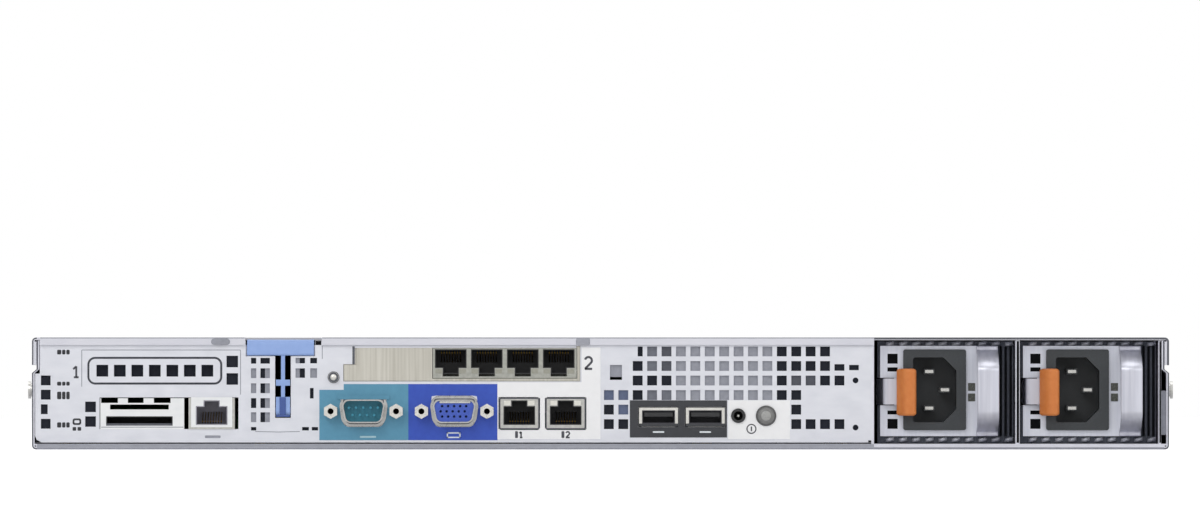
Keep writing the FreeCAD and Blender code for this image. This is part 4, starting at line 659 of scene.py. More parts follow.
# Dark strips over the lower rims of the rear USB shells paint the shade that falls there.
SILL_Z = (8.85, 9.95)
sill_places = [(span(x, USB_SHELL[0]), SILL_Z) for x in USB_PLACES]
sill_shade_tiles = tiles(sill_places, port_low[1], thick=0.06, radius=0.1, bevel=0.02)
add_piece("usb_sill_shades", sill_shade_tiles, charcoal_film, "chassis")
READER_X, READER_Z, READER_DEEP, READER_SET_BACK = (-188.7, -163.3), (9.1, 12.7), 22.0, 0.3
READER_LIP_Z, READER_LIP_BACK = READER_Z[0] + row([-0.1, 0.9]), 0.5
reader_cup = lining(READER_X, READER_Z, WALL + READER_SET_BACK, READER_DEEP, 1)
add_piece("reader_lining", [reader_cup], socket_black, "chassis")
reader_lip = flat_piece(READER_X, READER_LIP_Z, WALL + READER_LIP_BACK, thick=0.4)
add_piece("reader_lip", [reader_lip], edge_and_shade_grey, "chassis")

# %% [markdown]
# ## Power supplies
# Each supply has nickel blades in its inlet, a bent strap to pull it by, an orange thumb pad on a
# sprung tongue, two lamp windows and a row of spring fingers along its top and bottom edges. The
# strap leaves the face steeply and then eases over to its grip, as sheet bent round a large former
# does. A skewed smooth step gives that curve in one line.

# %% Straps
STRAP_THICK, STRAP_FOOT, STRAP_SLOPE, STRAP_SKEW, STRAP_EDGE = 1.2, 1.8, 7.4, 0.6, 0.25


def eased(t):
    """Step from 0 to 1 as 3 u^2 - 2 u^3, where u is t to the power of the skew, so it starts early."""
    u = np.clip(t, 0, 1) ** STRAP_SKEW
    return u * u * (3 - 2 * u)


def strap(number):
    """Strip in z whose depth falls by an eased step from each end; it keeps its thickness.

    The inner side is the outer side moved along its normal, (1, -slant) / length.
    """
    low, high = box_mm(f"psu_{number}_handle")
    z = np.linspace(low[2], high[2], 61)
    rise = eased((z - low[2] - STRAP_FOOT) / STRAP_SLOPE) * eased((high[2] - STRAP_FOOT - z) / STRAP_SLOPE)
    base = high[1] - STRAP_THICK
    outer = base - (base - low[1]) * rise
    slant = np.gradient(outer, z)
    normal = np.stack([np.ones_like(z), -slant], axis=-1) / np.hypot(1, slant)[:, None]
    inner_y, inner_z = outer + STRAP_THICK * normal[:, 0], z + STRAP_THICK * normal[:, 1]
    inwards = STRAP_EDGE * row([1, 0, 0, 1])
    x = np.concatenate([low[0] + inwards, high[0] - inwards])
    # Eight points go round each section, and share is their way from the outer side to the inner.
    share = row([1, 0.8, 0.2, 0, 0, 0.2, 0.8, 1])
    y = outer[:, None] * (1 - share) + inner_y[:, None] * share
    up = np.clip(z[:, None] * (1 - share) + inner_z[:, None] * share, low[2], high[2])
    return ring_stack(np.stack([np.broadcast_to(x, y.shape), y, up], axis=-1))


for number in SUPPLIES:
    piece = add_piece(f"psu_{number}_strap", [strap(number)], rolled_strap, f"psu_{number}",
                      smooth=True)
    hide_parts(f"psu_{number}_handle")

# %% [markdown]
# ## Catches
# A catch is a springy leaf with an orange pad moulded on its end. The leaf is a strip of even
# thickness, bent once, and its tooth is a small prism. The pad is what a thumb pushes, so it has no
# hard edge: its section is a sine that runs into a quarter ellipse, drawn in towards both ends.

# %% Thumb pads
PAD_X, PAD_Z, PAD_Y, PAD_BACK = (7.2, 14.6), (12.9, 30.9), (-2.8, 2.3), 3.6
PAD_CREST, PAD_EDGE, PAD_EDGE_DEEP, PAD_CORNER, PAD_SINK = 0.62, 0.8, 1.4, 1.1, 0.15
REAR_EDGE = box_mm("base_tray")[0][1]


def thumb_pad(left):
    """Pad whose front rises as a quarter sine from the leaf to the grip.

    The section in x and y is carried along z. Towards both ends it draws in by a quarter circle,
    so that the pad's corners are round, and its right edge falls away as a quarter ellipse.
    """
    across = np.linspace(0, 1, 33)
    front = PAD_Y[1] + (PAD_Y[0] - PAD_Y[1]) * np.sin(np.pi / 2 * np.clip(across / PAD_CREST, 0, 1))
    edge = np.clip((across - PAD_EDGE) / (1 - PAD_EDGE), 0, 1)
    front = front + PAD_EDGE_DEEP * (1 - np.sqrt(1 - edge ** 2))
    section_y = np.concatenate([front, np.full(across.shape, PAD_BACK)])
    z = np.linspace(*PAD_Z, 49)[:, None]
    near_end = PAD_CORNER - np.minimum(z - PAD_Z[0], PAD_Z[1] - z)
    inset = PAD_CORNER - np.sqrt(PAD_CORNER ** 2 - np.clip(near_end, 0, PAD_CORNER) ** 2)
    share = np.concatenate([across, across[::-1]])
    x = left + PAD_X[0] + inset + share * (PAD_X[1] - PAD_X[0] - 2 * inset)
    y = REAR_EDGE + PAD_BACK + (section_y - PAD_BACK) * (1 - PAD_SINK * inset)
    return ring_stack(np.stack([x, y, np.broadcast_to(z, y.shape)], axis=-1))


# %% Spring leaves
LEAF_X, LEAF_Z, LEAF_THICK, LEAF_BEND = 2.4, (17.2, 27.1), 0.8, 1.6
LEAF_ROOT, LEAF_WAIST, LEAF_LEG, LEAF_SHORT = 52.0, 20.0, 4.0, 1.0
TOOTH = ((2.0, 26.0), (-0.2, 25.0), (2.0, 16.0))
SUPPLY_LEFT = [box_mm(f"psu_{number}_case")[0][0] for number in SUPPLIES]


def strip(path, thick, z):
    """Sheet of even thickness along a path in x and y, standing between two heights."""
    left, right = both_sides(path, thick)
    corners = ((left, z[0]), (right, z[0]), (right, z[1]), (left, z[1]))
    return ring_stack(np.stack([np.insert(flat, 2, level, axis=1) for flat, level in corners], axis=1))


def prism(outline, z):
    """Outline in x and y that bulges outwards everywhere, carried between two heights."""
    return ring_stack(np.stack([np.insert(outline, 2, level, axis=1) for level in z]))


leaf_bend = bent((LEAF_X, LEAF_LEG + LEAF_BEND), (LEAF_X, LEAF_LEG), (LEAF_X + LEAF_BEND, LEAF_LEG))
leaf_end = [(PAD_X[0], LEAF_LEG), (PAD_X[1] - LEAF_SHORT, LEAF_LEG)]
leaf_path = row([(LEAF_X, LEAF_ROOT), (LEAF_X, LEAF_WAIST), *leaf_bend, *leaf_end])
for number, left in zip(SUPPLIES, SUPPLY_LEFT):
    place = row([left, REAR_EDGE])
    leaf = [strip(leaf_path + place, LEAF_THICK, LEAF_Z), prism(row(TOOTH) + place, LEAF_Z)]
    catch = f"psu_{number}_catch"
    piece = add_piece(f"psu_{number}_leaf", leaf, spring_strip, catch)
    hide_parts(f"psu_{number}_latch")
    add_piece(f"psu_{number}_pad", [thumb_pad(left)], orange_moulding, catch, smooth=True)

# %% [markdown]
# ## Blades, windows and fingers of the supplies
# The blades are square bars with a chamfered tip. The fingers earth a supply to its bay: each is a
# thin leaf that slants and bows out, and a half sine is the curve of a leaf sprung between its ends.

# %% Blades and fingers
BLADES = ((19.8, 29.8), (19.8, 15.8), (25.8, 22.8))
BLADE_HALF, BLADE_FLOOR, BLADE_LONG, BLADE_CHAMFER = (2.06, 1.06), 21.7, 12.2, (0.5, 1.0)
FINGERS, FINGER_PITCH, FINGER_FIRST, FINGER_LONG = 10, 5.06, 3.0, 3.4
FINGER_OUT, FINGER_BOW, FINGER_SLANT, FINGER_HALF = 0.15, 0.9, 0.6, (0.08, 0.75)


def blade(left, x, z):
    """Contact blade with a chamfered tip: a rectangle that draws in over its last millimetre."""
    outline = rounded_rectangle(span(left + x, BLADE_HALF[0]), span(z, BLADE_HALF[1]), radius=0.2, steps=2)
    root = REAR_EDGE + BLADE_FLOOR
    tip = root - BLADE_LONG
    return slab(outline, [(0, root), (0, tip + BLADE_CHAMFER[1]), (BLADE_CHAMFER[0], tip)])


def spring_finger(left, place, z, face):
    """Leaf that slants sideways and bows out: its height over the face is a half sine."""
    t = np.linspace(0, 1, 9)
    x = left + FINGER_FIRST + place * FINGER_PITCH + FINGER_LONG * t
    y = face - FINGER_OUT - FINGER_BOW * np.sin(np.pi * t)
    path = np.stack([x, y, z + FINGER_SLANT * (t - 0.5)], axis=-1)
    return bar(path, (0, FINGER_HALF[0], 0), (0, 0, FINGER_HALF[1]))


# %% Small pieces of both supplies
WINDOW_X, WINDOWS = (34.6, 37.3), ((18.4, 21.4), (22.4, 25.4))
FACE_VENT_X, FACE_VENTS = (3.8, 7.7), ((7.9, 11.7), (13.4, 14.9), (29.8, 31.4), (32.8, 36.6))
for number, left in zip(SUPPLIES, SUPPLY_LEFT):
    low, high = box_mm(f"psu_{number}_case")
    plate_low, plate_high = box_mm(f"psu_{number}_face")
    body = f"psu_{number}"
    blades = [blade(left, x, z) for x, z in BLADES]
    add_piece(f"psu_{number}_blades", blades, bright_nickel, body)
    windows = tiles([(left + row(WINDOW_X), z) for z in WINDOWS], plate_low[1], thick=0.25)
    add_piece(f"psu_{number}_windows", windows, smoked_lens, body)
    # Near-black tiles behind the face's vents paint the shade inside the supply.
    vent_places = [(left + row(FACE_VENT_X), z) for z in FACE_VENTS]
    vents = tiles(vent_places, plate_high[1], thick=0.1, radius=0.05, bevel=0.02)
    add_piece(f"psu_{number}_vent_shades", vents, deep_shade_black, body)
    bands = ((low[2] + plate_low[2]) / 2, (high[2] + plate_high[2]) / 2)
    fingers = [spring_finger(left, i, z, low[1]) for z in bands for i in range(FINGERS)]
    add_piece(f"psu_{number}_fingers", fingers, tinned_spring, body, smooth=True)

# %% [markdown]
# ## Screws, button and cable socket
# A bore reads as a hole because it is dark inside, so each jackscrew gets a near-black cup that paints the
# shade in its bore. The button's cap is a low dome: rings whose radius follows a cosine while their height
# follows a sine; a smaller, paler dome on it paints its highlight. The slot's screw has such a dome for a
# crown, with dark rings of painted shade round the crown and on the wall round its head.


# %% Circles and domes
def circle_points(x, z, radius, steps=32):
    """Circle about (x, z): its middle plus radius times (cos, sin)."""
    turn = np.linspace(0, 2 * np.pi, steps, endpoint=False)
    return row([x, z]) + radius * unit(turn)


def dome(x, z, radius, rise, y):
    """Quarter ellipse turned about y, from the base ring to a small flat at the top."""
    turns = np.linspace(0, 0.48 * np.pi, 9)
    return ring_stack(np.stack([at_depth(circle_points(x, z, radius * math.cos(t)), y - rise * math.sin(t))
                                for t in turns]))


# %% Bores, button and socket
BORE_R, BORE_DEEP, BORE_WALL, BORE_FLOOR, BORE_SET_BACK = 1.13, 4.2, 0.15, 0.3, 0.05
screw_face = box_mm("rear_screws")[0][1]
bore_mouth, bore_end = screw_face + BORE_SET_BACK, screw_face + BORE_DEEP
bore_stations = [(0, bore_end), (0, bore_mouth), (BORE_WALL, bore_mouth), (BORE_WALL, bore_end - BORE_FLOOR)]
bores = [slab(circle_points(screw_x, PORT_Z, BORE_R), bore_stations)
         for x in (SERIAL_X, VIDEO_X) for screw_x in span(x, PORT_SCREWS / 2)]
add_piece("screw_bores", bores, deep_shade_black, "chassis")
CAP_R, CAP_RISE, HIGHLIGHT_R, HIGHLIGHT_RISE, HIGHLIGHT_OUT = 3.15, 1.0, 1.9, 0.45, 0.75
button_face = box_mm("id_button")[0][1]
cap = dome(ID_BUTTON[0], ID_Z, CAP_R, CAP_RISE, button_face)
add_piece("id_button_dome", [cap], grey_dome, "id_button", smooth=True)
# This smaller, paler dome on the cap is a painted highlight.
lens = dome(ID_BUTTON[0], ID_Z, HIGHLIGHT_R, HIGHLIGHT_RISE, button_face - HIGHLIGHT_OUT)
add_piece("id_button_highlight", [lens], highlight_grey, "id_button", smooth=True)
PIN_R, PIN_CHAMFER, PIN_ROOT, PIN_SHOULDER, PIN_TIP = 0.6, 0.25, 10.0, 0.9, 0.5
jack_face = box_mm("id_jack")[0][1]
pin = slab(circle_points(ID_JACK[0], ID_Z, PIN_R),
           [(0, jack_face + PIN_ROOT), (0, jack_face + PIN_SHOULDER), (PIN_CHAMFER, jack_face + PIN_TIP)])
add_piece("id_jack_contact", [pin], tinned_shield, "chassis")

# %% Screw of the second slot
SLOT_SCREW, SLOT_SCREW_R, SLOT_SCREW_OUT = (-101.9, 27.6), 2.0, 1.5
CROWN_R, CROWN_RISE, SEAT_SHADE, HEAD_EDGE_INSET = 1.25, 0.6, 0.25, 0.1
head_face = WALL - SLOT_SCREW_OUT
crown = dome(*SLOT_SCREW, CROWN_R, CROWN_RISE, head_face)
add_piece("slot_screw_cap", [crown], screw_nickel, "chassis", smooth=True)
# Both dark rings are painted shade: one on the head round its crown, one on the wall round the head.
seat_shade = flat_ring(circle_points(*SLOT_SCREW, SLOT_SCREW_R + SEAT_SHADE),
                   circle_points(*SLOT_SCREW, SLOT_SCREW_R), WALL, thick=0.1)
crown_shade = flat_ring(circle_points(*SLOT_SCREW, SLOT_SCREW_R - HEAD_EDGE_INSET),
                   circle_points(*SLOT_SCREW, CROWN_R), head_face, thick=0.05)
add_piece("slot_screw_shade_rings", [seat_shade, crown_shade], edge_and_shade_grey, "chassis")

# %% [markdown]
# ## Rims of the ports
# The drawn tube of a D port meets its flange in a fillet that holds shade, seen as a dark line round
# the tube. A flat ring a few hundredths of a millimetre thick draws that line. The network jacks
# have a line like it where the shield passes through the wall.

# %% Lines and lips of the ports
TUBE_HALF, RIM_OUT, RIM_LINE, LINE_OUT = (8.5, 4.5), 0.5, 0.4, 0.05
round_turn = np.linspace(0, 2 * np.pi, 96, endpoint=False)
rim_lines = []
for x in (SERIAL_X, VIDEO_X):
    inner = convex_edge(port_hole(*TUBE_HALF), (x, PORT_Z), round_turn)
    outer = convex_edge(port_hole(*[half + RIM_LINE for half in TUBE_HALF]), (x, PORT_Z), round_turn)
    rim_lines.append(flat_ring(outer, inner, WALL - RIM_OUT, LINE_OUT))
add_piece("port_rim_lines", rim_lines, edge_and_shade_grey, "chassis")
HOOD_HALF, HOOD_Z = 10.0, (19.15, 20.75)
hood = flat_piece(span(SERIAL_X, HOOD_HALF), HOOD_Z, WALL - RIM_OUT, thick=0.1, radius=0.5, bevel=0.02)
add_piece("serial_film_edge", [hood], teal_film, "chassis")
# This bright nickel strip along the top inside the video shell is a painted highlight of that edge.
VIDEO_LIP_X, VIDEO_LIP_Z = (-5.6, 6.2), (17.7, 18.5)
core_face = box_mm("video_core")[0][1]
video_lip = flat_piece(VIDEO_X + row(VIDEO_LIP_X), VIDEO_LIP_Z, core_face, thick=0.3, radius=0.3)
add_piece("video_top_highlight", [video_lip], bright_nickel, "chassis")
JACK_LINE_OUTER, JACK_LINE_INNER = (7.6, 5.95, 0.4), (7.2, 5.55, 0.3)
# Dark rings round the network jacks paint the shade where each shield passes through the wall.
jack_shade_lines = []
for x in LAN_PLACES:
    outer, inner = [rounded_rectangle(span(x, half_x), span(LAN_Z, half_z), radius)
                    for half_x, half_z, radius in (JACK_LINE_OUTER, JACK_LINE_INNER)]
    jack_shade_lines.append(flat_ring(outer, inner, SHIELD_FACE, LINE_OUT))
add_piece("jack_shade_lines", jack_shade_lines, edge_and_shade_grey, "chassis")

# %% [markdown]
# ## Latch grip and locating tabs
# The blue latch has a darker raised grip for a fingertip, and two small tabs on the lid's lip find their
# place at the wall. The tabs' grey paints the shade of the notches in the lip that they cover. All of them
# are low blocks with soft edges, so rounded tiles are enough.

# %% Latch grip and locating tabs
LATCH_X, GRIP_DEEP, RAISED = -121.2, 0.4, 0.25
GRIP_RIB, GRIP_BAR = (LATCH_X + row([-1.3, 1.1]), (13.3, 20.0)), (span(LATCH_X, 2.6), (12.5, 13.2))
grip_back = REAR_EDGE + GRIP_DEEP
grip = [flat_piece(*GRIP_RIB, grip_back, RAISED, radius=0.3), flat_piece(*GRIP_BAR, grip_back, RAISED)]
add_piece("latch_grip", grip, deep_blue, "card_latch")
ROUND_TAB, SQUARE_TAB = ((-148.6, -141.4), (39.9, 42.4)), ((-9.2, -4.1), (39.9, 42.5))
lip_face = box_mm("top_cover")[0][1]
# Both tabs are painted grey for the shade of the notches they cover.
round_tab = flat_piece(*ROUND_TAB, lip_face, RAISED, radius=1.2)
add_piece("round_tab", [round_tab], zinc_grey_painted_light_and_print, "cover")
square_tab = flat_piece(*SQUARE_TAB, lip_face, RAISED, radius=0.3)
add_piece("square_tab", [square_tab], hem_shade_grey, "cover")

# %% [markdown]
# ## What shows through the vents
# Through the vents one sees folded sheet, brackets and a card guide, each in its own tone, and elsewhere a
# dark blue-grey sheet that paints the shade inside the case. One dark box behind the wall would be simpler,
# but then every hole would look alike. A vent shows only what lies right behind it, so flat tiles close to
# the wall are enough.

# %% Folded sheet and brackets
WALL_BACK, BACKING, TILE_CORNER = WALL + SHEET, 0.4, 0.1
# Some vents beside the latch are half backed by folded sheet, so they read pale on that side.
PALE_BACKS = (
    ((-128.1, -126.0), (10.2, 31.2)), ((-116.6, -114.8), (27.2, 35.2)), ((-111.0, -108.0), (27.2, 31.2)),
    ((-133.6, -131.2), (21.3, 31.2)), ((-133.6, -131.2), (10.2, 14.4)), ((3.3, 8.4), (27.7, 32.6)),
    ((28.4, 66.6), (18.9, 39.6)))
# The brackets take the greyer copies of the zinc: painted shade that darkens the deeper they lie.
NEAR_BRACKETS = (((17.5, 21.8), (29.8, 39.6)), ((17.5, 27.3), (18.9, 23.1)))
DEEP_BRACKETS = (((22.9, 27.3), (29.8, 39.6)), ((72.4, 83.0), (24.2, 28.5)))
# Folded sheet behind the latch cap closes the gap round it, clear of the stem.
LATCH_GAPS = (
    ((-137.2, -135.0), (34.6, 39.8)), ((-109.3, -107.2), (35.6, 39.8)),
    ((-137.2, -124.5), (35.55, 35.85)), ((-117.9, -107.2), (35.55, 35.85)))
for name, places, material in (
        ("vent_backs", PALE_BACKS, zinc_grey_painted_light_and_print), ("vent_brackets", NEAR_BRACKETS, inner_bracket),
        ("deep_brackets", DEEP_BRACKETS, deep_bracket), ("latch_gap_backs", LATCH_GAPS, rear_zinc)):
    backing = tiles(places, WALL_BACK + BACKING, BACKING, TILE_CORNER)
    add_piece(name, backing, material, "chassis")

# %% Painted shade sheet and card guide
BACK_TILE_THICK = 0.45
SHADE_PATCHES = (
    ((-214.8, -209.4), (7.6, 28.0)), ((-143.2, -138.2), (24.8, 36.0)), ((-197.6, -192.4), (8.4, 18.8)),
    ((12.0, 16.5), (18.6, 39.6)), ((17.4, 27.3), (24.2, 28.5)), ((67.0, 100.2), (28.7, 39.6)),
    ((67.0, 72.2), (24.2, 28.5)), ((83.2, 100.2), (24.2, 28.5)), ((67.0, 77.0), (18.6, 23.2)),
    ((72.8, 100.2), (7.2, 18.5)), ((1.0, 5.9), (7.2, 18.0)), ((6.0, 10.8), (7.2, 12.6)),
    ((-130.6, -128.2), (9.9, 35.5)), ((-128.1, -126.0), (31.4, 35.5)), ((-133.7, -131.1), (14.6, 21.1)),
    ((-133.7, -131.1), (31.4, 35.5)), ((-133.7, -131.1), (7.0, 8.9)), ((-114.7, -112.5), (27.2, 35.5)),
    ((-111.1, -107.9), (31.4, 35.5)), ((-111.2, -109.2), (19.2, 23.8)), ((-114.2, -107.6), (7.0, 8.9)))
# The filler plate of the first slot lies one sheet behind the wall, and its sheet of painted shade one sheet
# deeper.
BLANK_PATCH = ((-193.0, -147.0), (27.7, 32.6))
GUIDE_PATCHES = (((1.0, 10.8), (18.4, 23.1)), ((6.2, 10.8), (12.9, 18.2)))
shade_tiles = tiles(SHADE_PATCHES, WALL_BACK + BACK_TILE_THICK, BACK_TILE_THICK, TILE_CORNER)
shade_tiles += tiles([BLANK_PATCH], WALL_BACK + SHEET + BACK_TILE_THICK, BACK_TILE_THICK, TILE_CORNER)
add_piece("vent_shade_sheet", shade_tiles, vent_shade_sheet, "chassis")
guide = tiles(GUIDE_PATCHES, WALL_BACK + BACK_TILE_THICK, BACK_TILE_THICK, TILE_CORNER)
add_piece("vent_guide", guide, slate_guide, "chassis")

# %% [markdown]
# ## Gaps and edges of the wall
# Where sheets meet, the photograph shows small dark gaps and edges. Cutting them would split the
# wall's solid for a shade, so each is a tile a few hundredths of a millimetre thick.

# %% Small shades on the wall
SHADE, SKIN, SKIN_BEVEL = 0.06, 0.05, 0.02
GAPS = (((-108.8, -106.6), (39.9, 41.5)), ((102.2, 103.3), (2.75, 3.5)))
CORNER_GAP = ((-216.0, 2.75), (-213.4, 2.75), (-215.2, 3.7), (-216.0, 5.6))
gap_shades = tiles(GAPS, WALL, SHADE, TILE_CORNER, SKIN_BEVEL)
gap_shades.append(slab(row(CORNER_GAP), [(0, WALL), (0, WALL - SHADE)]))
add_piece("corner_shades", gap_shades, deep_shade_black, "chassis")
# The card bracket starts with a step, and the opening for its slot stops a little below its top.
BRACKET_STEP, SLOT_BROW = ((-94.7, -93.82), (32.5, 39.4)), ((-93.82, -9.2), (38.8, 39.8))
# A dark strip along the bracket's step paints the shade in the gap beside it.
step_shade = flat_piece(*BRACKET_STEP, WALL, SKIN, TILE_CORNER, SKIN_BEVEL)
add_piece("bracket_step_shade", [step_shade], edge_and_shade_grey, "chassis")
brow = flat_piece(*SLOT_BROW, WALL, SKIN, TILE_CORNER, SKIN_BEVEL)
add_piece("slot_2_brow", [brow], rear_zinc, "chassis")

# %% [markdown]
# ## Numbers and marks
# The slots carry plain printed numbers. A figure is a stroke of even width along a path, so it is the same
# ring stack once more, only a few hundredths of a millimetre thick. Text objects would need a font; two
# figures made of lines and an arc need none. The grooves and seams of the pressed panels show only as thin
# grey lines of painted shade, so they are strokes and flat rings too.

# %% Strokes
INK, INK_BEVEL = 0.04, 0.01


def line(start, end):
    """Straight path through its two ends and the point between them."""
    return np.linspace(start, end, 3)


def stroke(path, width, y):
    """Flat ribbon along a path in x and z, as thick as the ink."""
    left, right = both_sides(path, width)
    corners = ((left, y), (right, y), (right, y - INK), (left, y - INK))
    return ring_stack(np.stack([at_depth(flat, level) for flat, level in corners], axis=1))


def printed(x, z, y, radius=0.3):
    """Printed block: a tile as thick as the ink."""
    return flat_piece(x, z, y, INK, radius, INK_BEVEL)


# %% Printed figures
def figure_one(x, z, high):
    """Upright, flag and foot, with their ends as shares of the height."""
    return [line((x, z), (x, z + high)),
            line((x - 0.28 * high, z + 0.74 * high), (x, z + 0.98 * high)),
            line((x - 0.22 * high, z), (x + 0.22 * high, z))]


def figure_two(x, z, high):
    """Bow of a circle over the top, a slanting leg and a level foot."""
    turn = np.linspace(math.radians(165), math.radians(-35), 14)
    radius = 0.29 * high
    bow = row([x, z + high - radius]) + radius * unit(turn)
    leg = np.linspace(bow[-1], (x - radius, z), 6)[1:]
    foot = line((x - radius - 0.1, z), (x + radius + 0.1, z))
    return [np.concatenate([bow, leg]), foot]


FILM_FACE = WALL - FILM
SLOT_1_FIGURE, SLOT_2_FIGURE = (-200.1, 27.6, 4.2), (-4.6, 30.8, 4.5)
LAN_FIGURE_Z, LAN_FIGURE_HIGH, LAN_BLOCK_X, LAN_BLOCK_Z = 4.6, 2.2, (-1.6, -0.5), (4.4, 7.0)
SLOT_1_WIDE, SLOT_2_WIDE, LAN_WIDE, LAN_SHIFTS = 0.75, 0.85, 0.6, (0.7, 0.8)
figures = [stroke(path, SLOT_1_WIDE, WALL) for path in figure_one(*SLOT_1_FIGURE)]
figures += [stroke(path, SLOT_2_WIDE, FILM_FACE) for path in figure_two(*SLOT_2_FIGURE)]
for x, figure, shift in zip(LAN_PLACES, (figure_one, figure_two), LAN_SHIFTS):
    paths = figure(x + shift, LAN_FIGURE_Z, LAN_FIGURE_HIGH)
    figures += [stroke(path, LAN_WIDE, FILM_FACE) for path in paths]
    figures.append(printed(x + row(LAN_BLOCK_X), LAN_BLOCK_Z, FILM_FACE))
add_piece("slot_figures", figures, grey_ink, "chassis")

# %% Marks at the left
MARK_LEFT, MARK_RUNS = -207.4, ((0.0, 1.6), (1.9, 3.2), (3.5, 4.8))
MARK_ROWS = ((36.3, 38.1), (24.4, 25.9), (19.2, 22.1), (8.4, 10.4))
BADGE_X, BADGE_Z, BADGE_LINE = (-201.5, -198.2), (9.4, 11.9), 0.7
BADGE_FEET, BADGE_FEET_Z = ((-201.5, -200.1), (-199.6, -198.2)), (7.2, 8.6)
left_marks = [printed(MARK_LEFT + row(run), z, WALL, radius=0.4) for z in MARK_ROWS for run in MARK_RUNS]
badge = rounded_rectangle(BADGE_X, BADGE_Z, radius=0.8)
left_marks.append(flat_ring(badge, shrink(badge, BADGE_LINE), WALL, INK))
left_marks += [printed(x, BADGE_FEET_Z, WALL) for x in BADGE_FEET]
add_piece("left_marks", left_marks, black_ink, "chassis")
CONSOLE_MARK = ((-151.0, -145.0), (4.4, 5.4))
add_piece("jack_mark", [printed(*CONSOLE_MARK, WALL)], zinc_grey_painted_light_and_print, "chassis")

# %% Grooves and seams of the panels
BLANK_X, BLANK_Z, BLANK_HALF, GROOVE = -170.1, 30.1, (24.95, 4.5), 0.8
FIELD_CORNER, RIM_CORNER = 2.2, 3.0
field, rim = [
    rounded_rectangle(span(BLANK_X, BLANK_HALF[0] + wider), span(BLANK_Z, BLANK_HALF[1] + wider),
                      radius, steps=8)
    for wider, radius in ((0, FIELD_CORNER), (GROOVE, RIM_CORNER))]
# The dark ring at the bottom of the blank's groove is painted shade.
add_piece("blank_groove_shade", [flat_ring(rim, field, WALL_BACK, INK)], edge_and_shade_grey, "chassis")
# Grey strokes along the seams of the pressed panels paint the shade in them.
SEAM_WIDTH = 0.3
PANEL_LEFT, PANEL_RIGHT, PANEL_TOP = -198.0, -137.4, 38.0
panel_shade_lines = [
    line((PANEL_LEFT, 24.0), (PANEL_LEFT, PANEL_TOP)),
    line((PANEL_LEFT, PANEL_TOP), (PANEL_RIGHT, PANEL_TOP)),
    line((PANEL_RIGHT, PANEL_TOP), (PANEL_RIGHT, 21.0)),
    row([(-131.8, 6.9), (-123.0, 6.7), (-114.8, 6.9)]),
    line((-106.2, 39.6), (-106.2, 34.6)),
    line((-190.6, 8.55), (-159.2, 8.55)),
]
panel_seams = [stroke(path, SEAM_WIDTH, WALL) for path in panel_shade_lines]
add_piece("panel_shade_lines", panel_seams, zinc_grey_painted_light_and_print, "chassis")

# %% Marks on the films
BUTTON_MARK, BUTTON_MARK_R, TICK_HALF = row([57.6, 7.9]), 1.7, row([0, 0.9])
RING_WIDE, TICK_WIDE = 0.45, 0.5
mark_turn = np.linspace(0, 2 * np.pi, 40)
mark_circle = BUTTON_MARK + BUTTON_MARK_R * unit(mark_turn)
mark_tick = line(BUTTON_MARK - TICK_HALF, BUTTON_MARK + TICK_HALF)
button_mark = [stroke(mark_circle, RING_WIDE, FILM_FACE), stroke(mark_tick, TICK_WIDE, FILM_FACE)]
add_piece("button_mark", button_mark, grey_ink, "chassis")
SERIAL_MARK_X, SERIAL_MARK_Z = (-1.4, 4.8), (4.5, 5.2)
serial_mark = printed(SERIAL_X + row(SERIAL_MARK_X), SERIAL_MARK_Z, FILM_FACE)
add_piece("serial_mark", [serial_mark], teal_ink, "chassis")
SCREEN_X, SCREEN_Z, SCREEN_LINE = VIDEO_X + row([-2.9, 2.4]), (4.4, 6.6), 0.5
USB_MARK_HALF, USB_MARK_Z = 2.2, (6.4, 7.0)
film_marks = [printed(SCREEN_X, z, FILM_FACE, radius=0.1)
              for z in ((SCREEN_Z[0], SCREEN_Z[0] + SCREEN_LINE), (SCREEN_Z[1] - SCREEN_LINE, SCREEN_Z[1]))]
film_marks += [printed(x, SCREEN_Z, FILM_FACE, radius=0.1)
               for x in ((SCREEN_X[0], SCREEN_X[0] + SCREEN_LINE), (SCREEN_X[1] - SCREEN_LINE, SCREEN_X[1]))]
film_marks += [printed(span(x, USB_MARK_HALF), USB_MARK_Z, FILM_FACE, radius=0.25) for x in USB_PLACES]
add_piece("film_marks", film_marks, pale_ink, "chassis")

# %% [markdown]
# ## Sheared edges
# Seen end on, the tray, the lid and the bay walls are sheet edges. They are drawn as ribbons along
# the middle of each sheet, a few hundredths of a millimetre in front of it. The ribbon of the tray
# runs down one side to the floor, and again on the other side. The lid's follow its skirts, and its
# roof where it lies bare over the supplies.

# %% Edges of the tray
BEND, EDGE, EDGE_IN = 1.6, 0.5, 0.3
JOGGLE_LOW, JOGGLE_HIGH, JOGGLE_IN = 29.2, 30.7, 1.8
side_x, tray_top = HALF_WIDTH - EDGE_IN, box_mm("base_tray")[1][2]
tray_bend = bent((-side_x, BEND), (-side_x, EDGE_IN), (-side_x + BEND, EDGE_IN))
joggle_x = -side_x + JOGGLE_IN
tray_path = row([(joggle_x, tray_top), (joggle_x, JOGGLE_HIGH), (-side_x, JOGGLE_LOW), *tray_bend])
tray_sides = [stroke(tray_path * (sign, 1), EDGE, REAR_EDGE) for sign in (1, -1)]
add_piece("tray_edges", tray_sides, edge_and_shade_grey, "chassis")
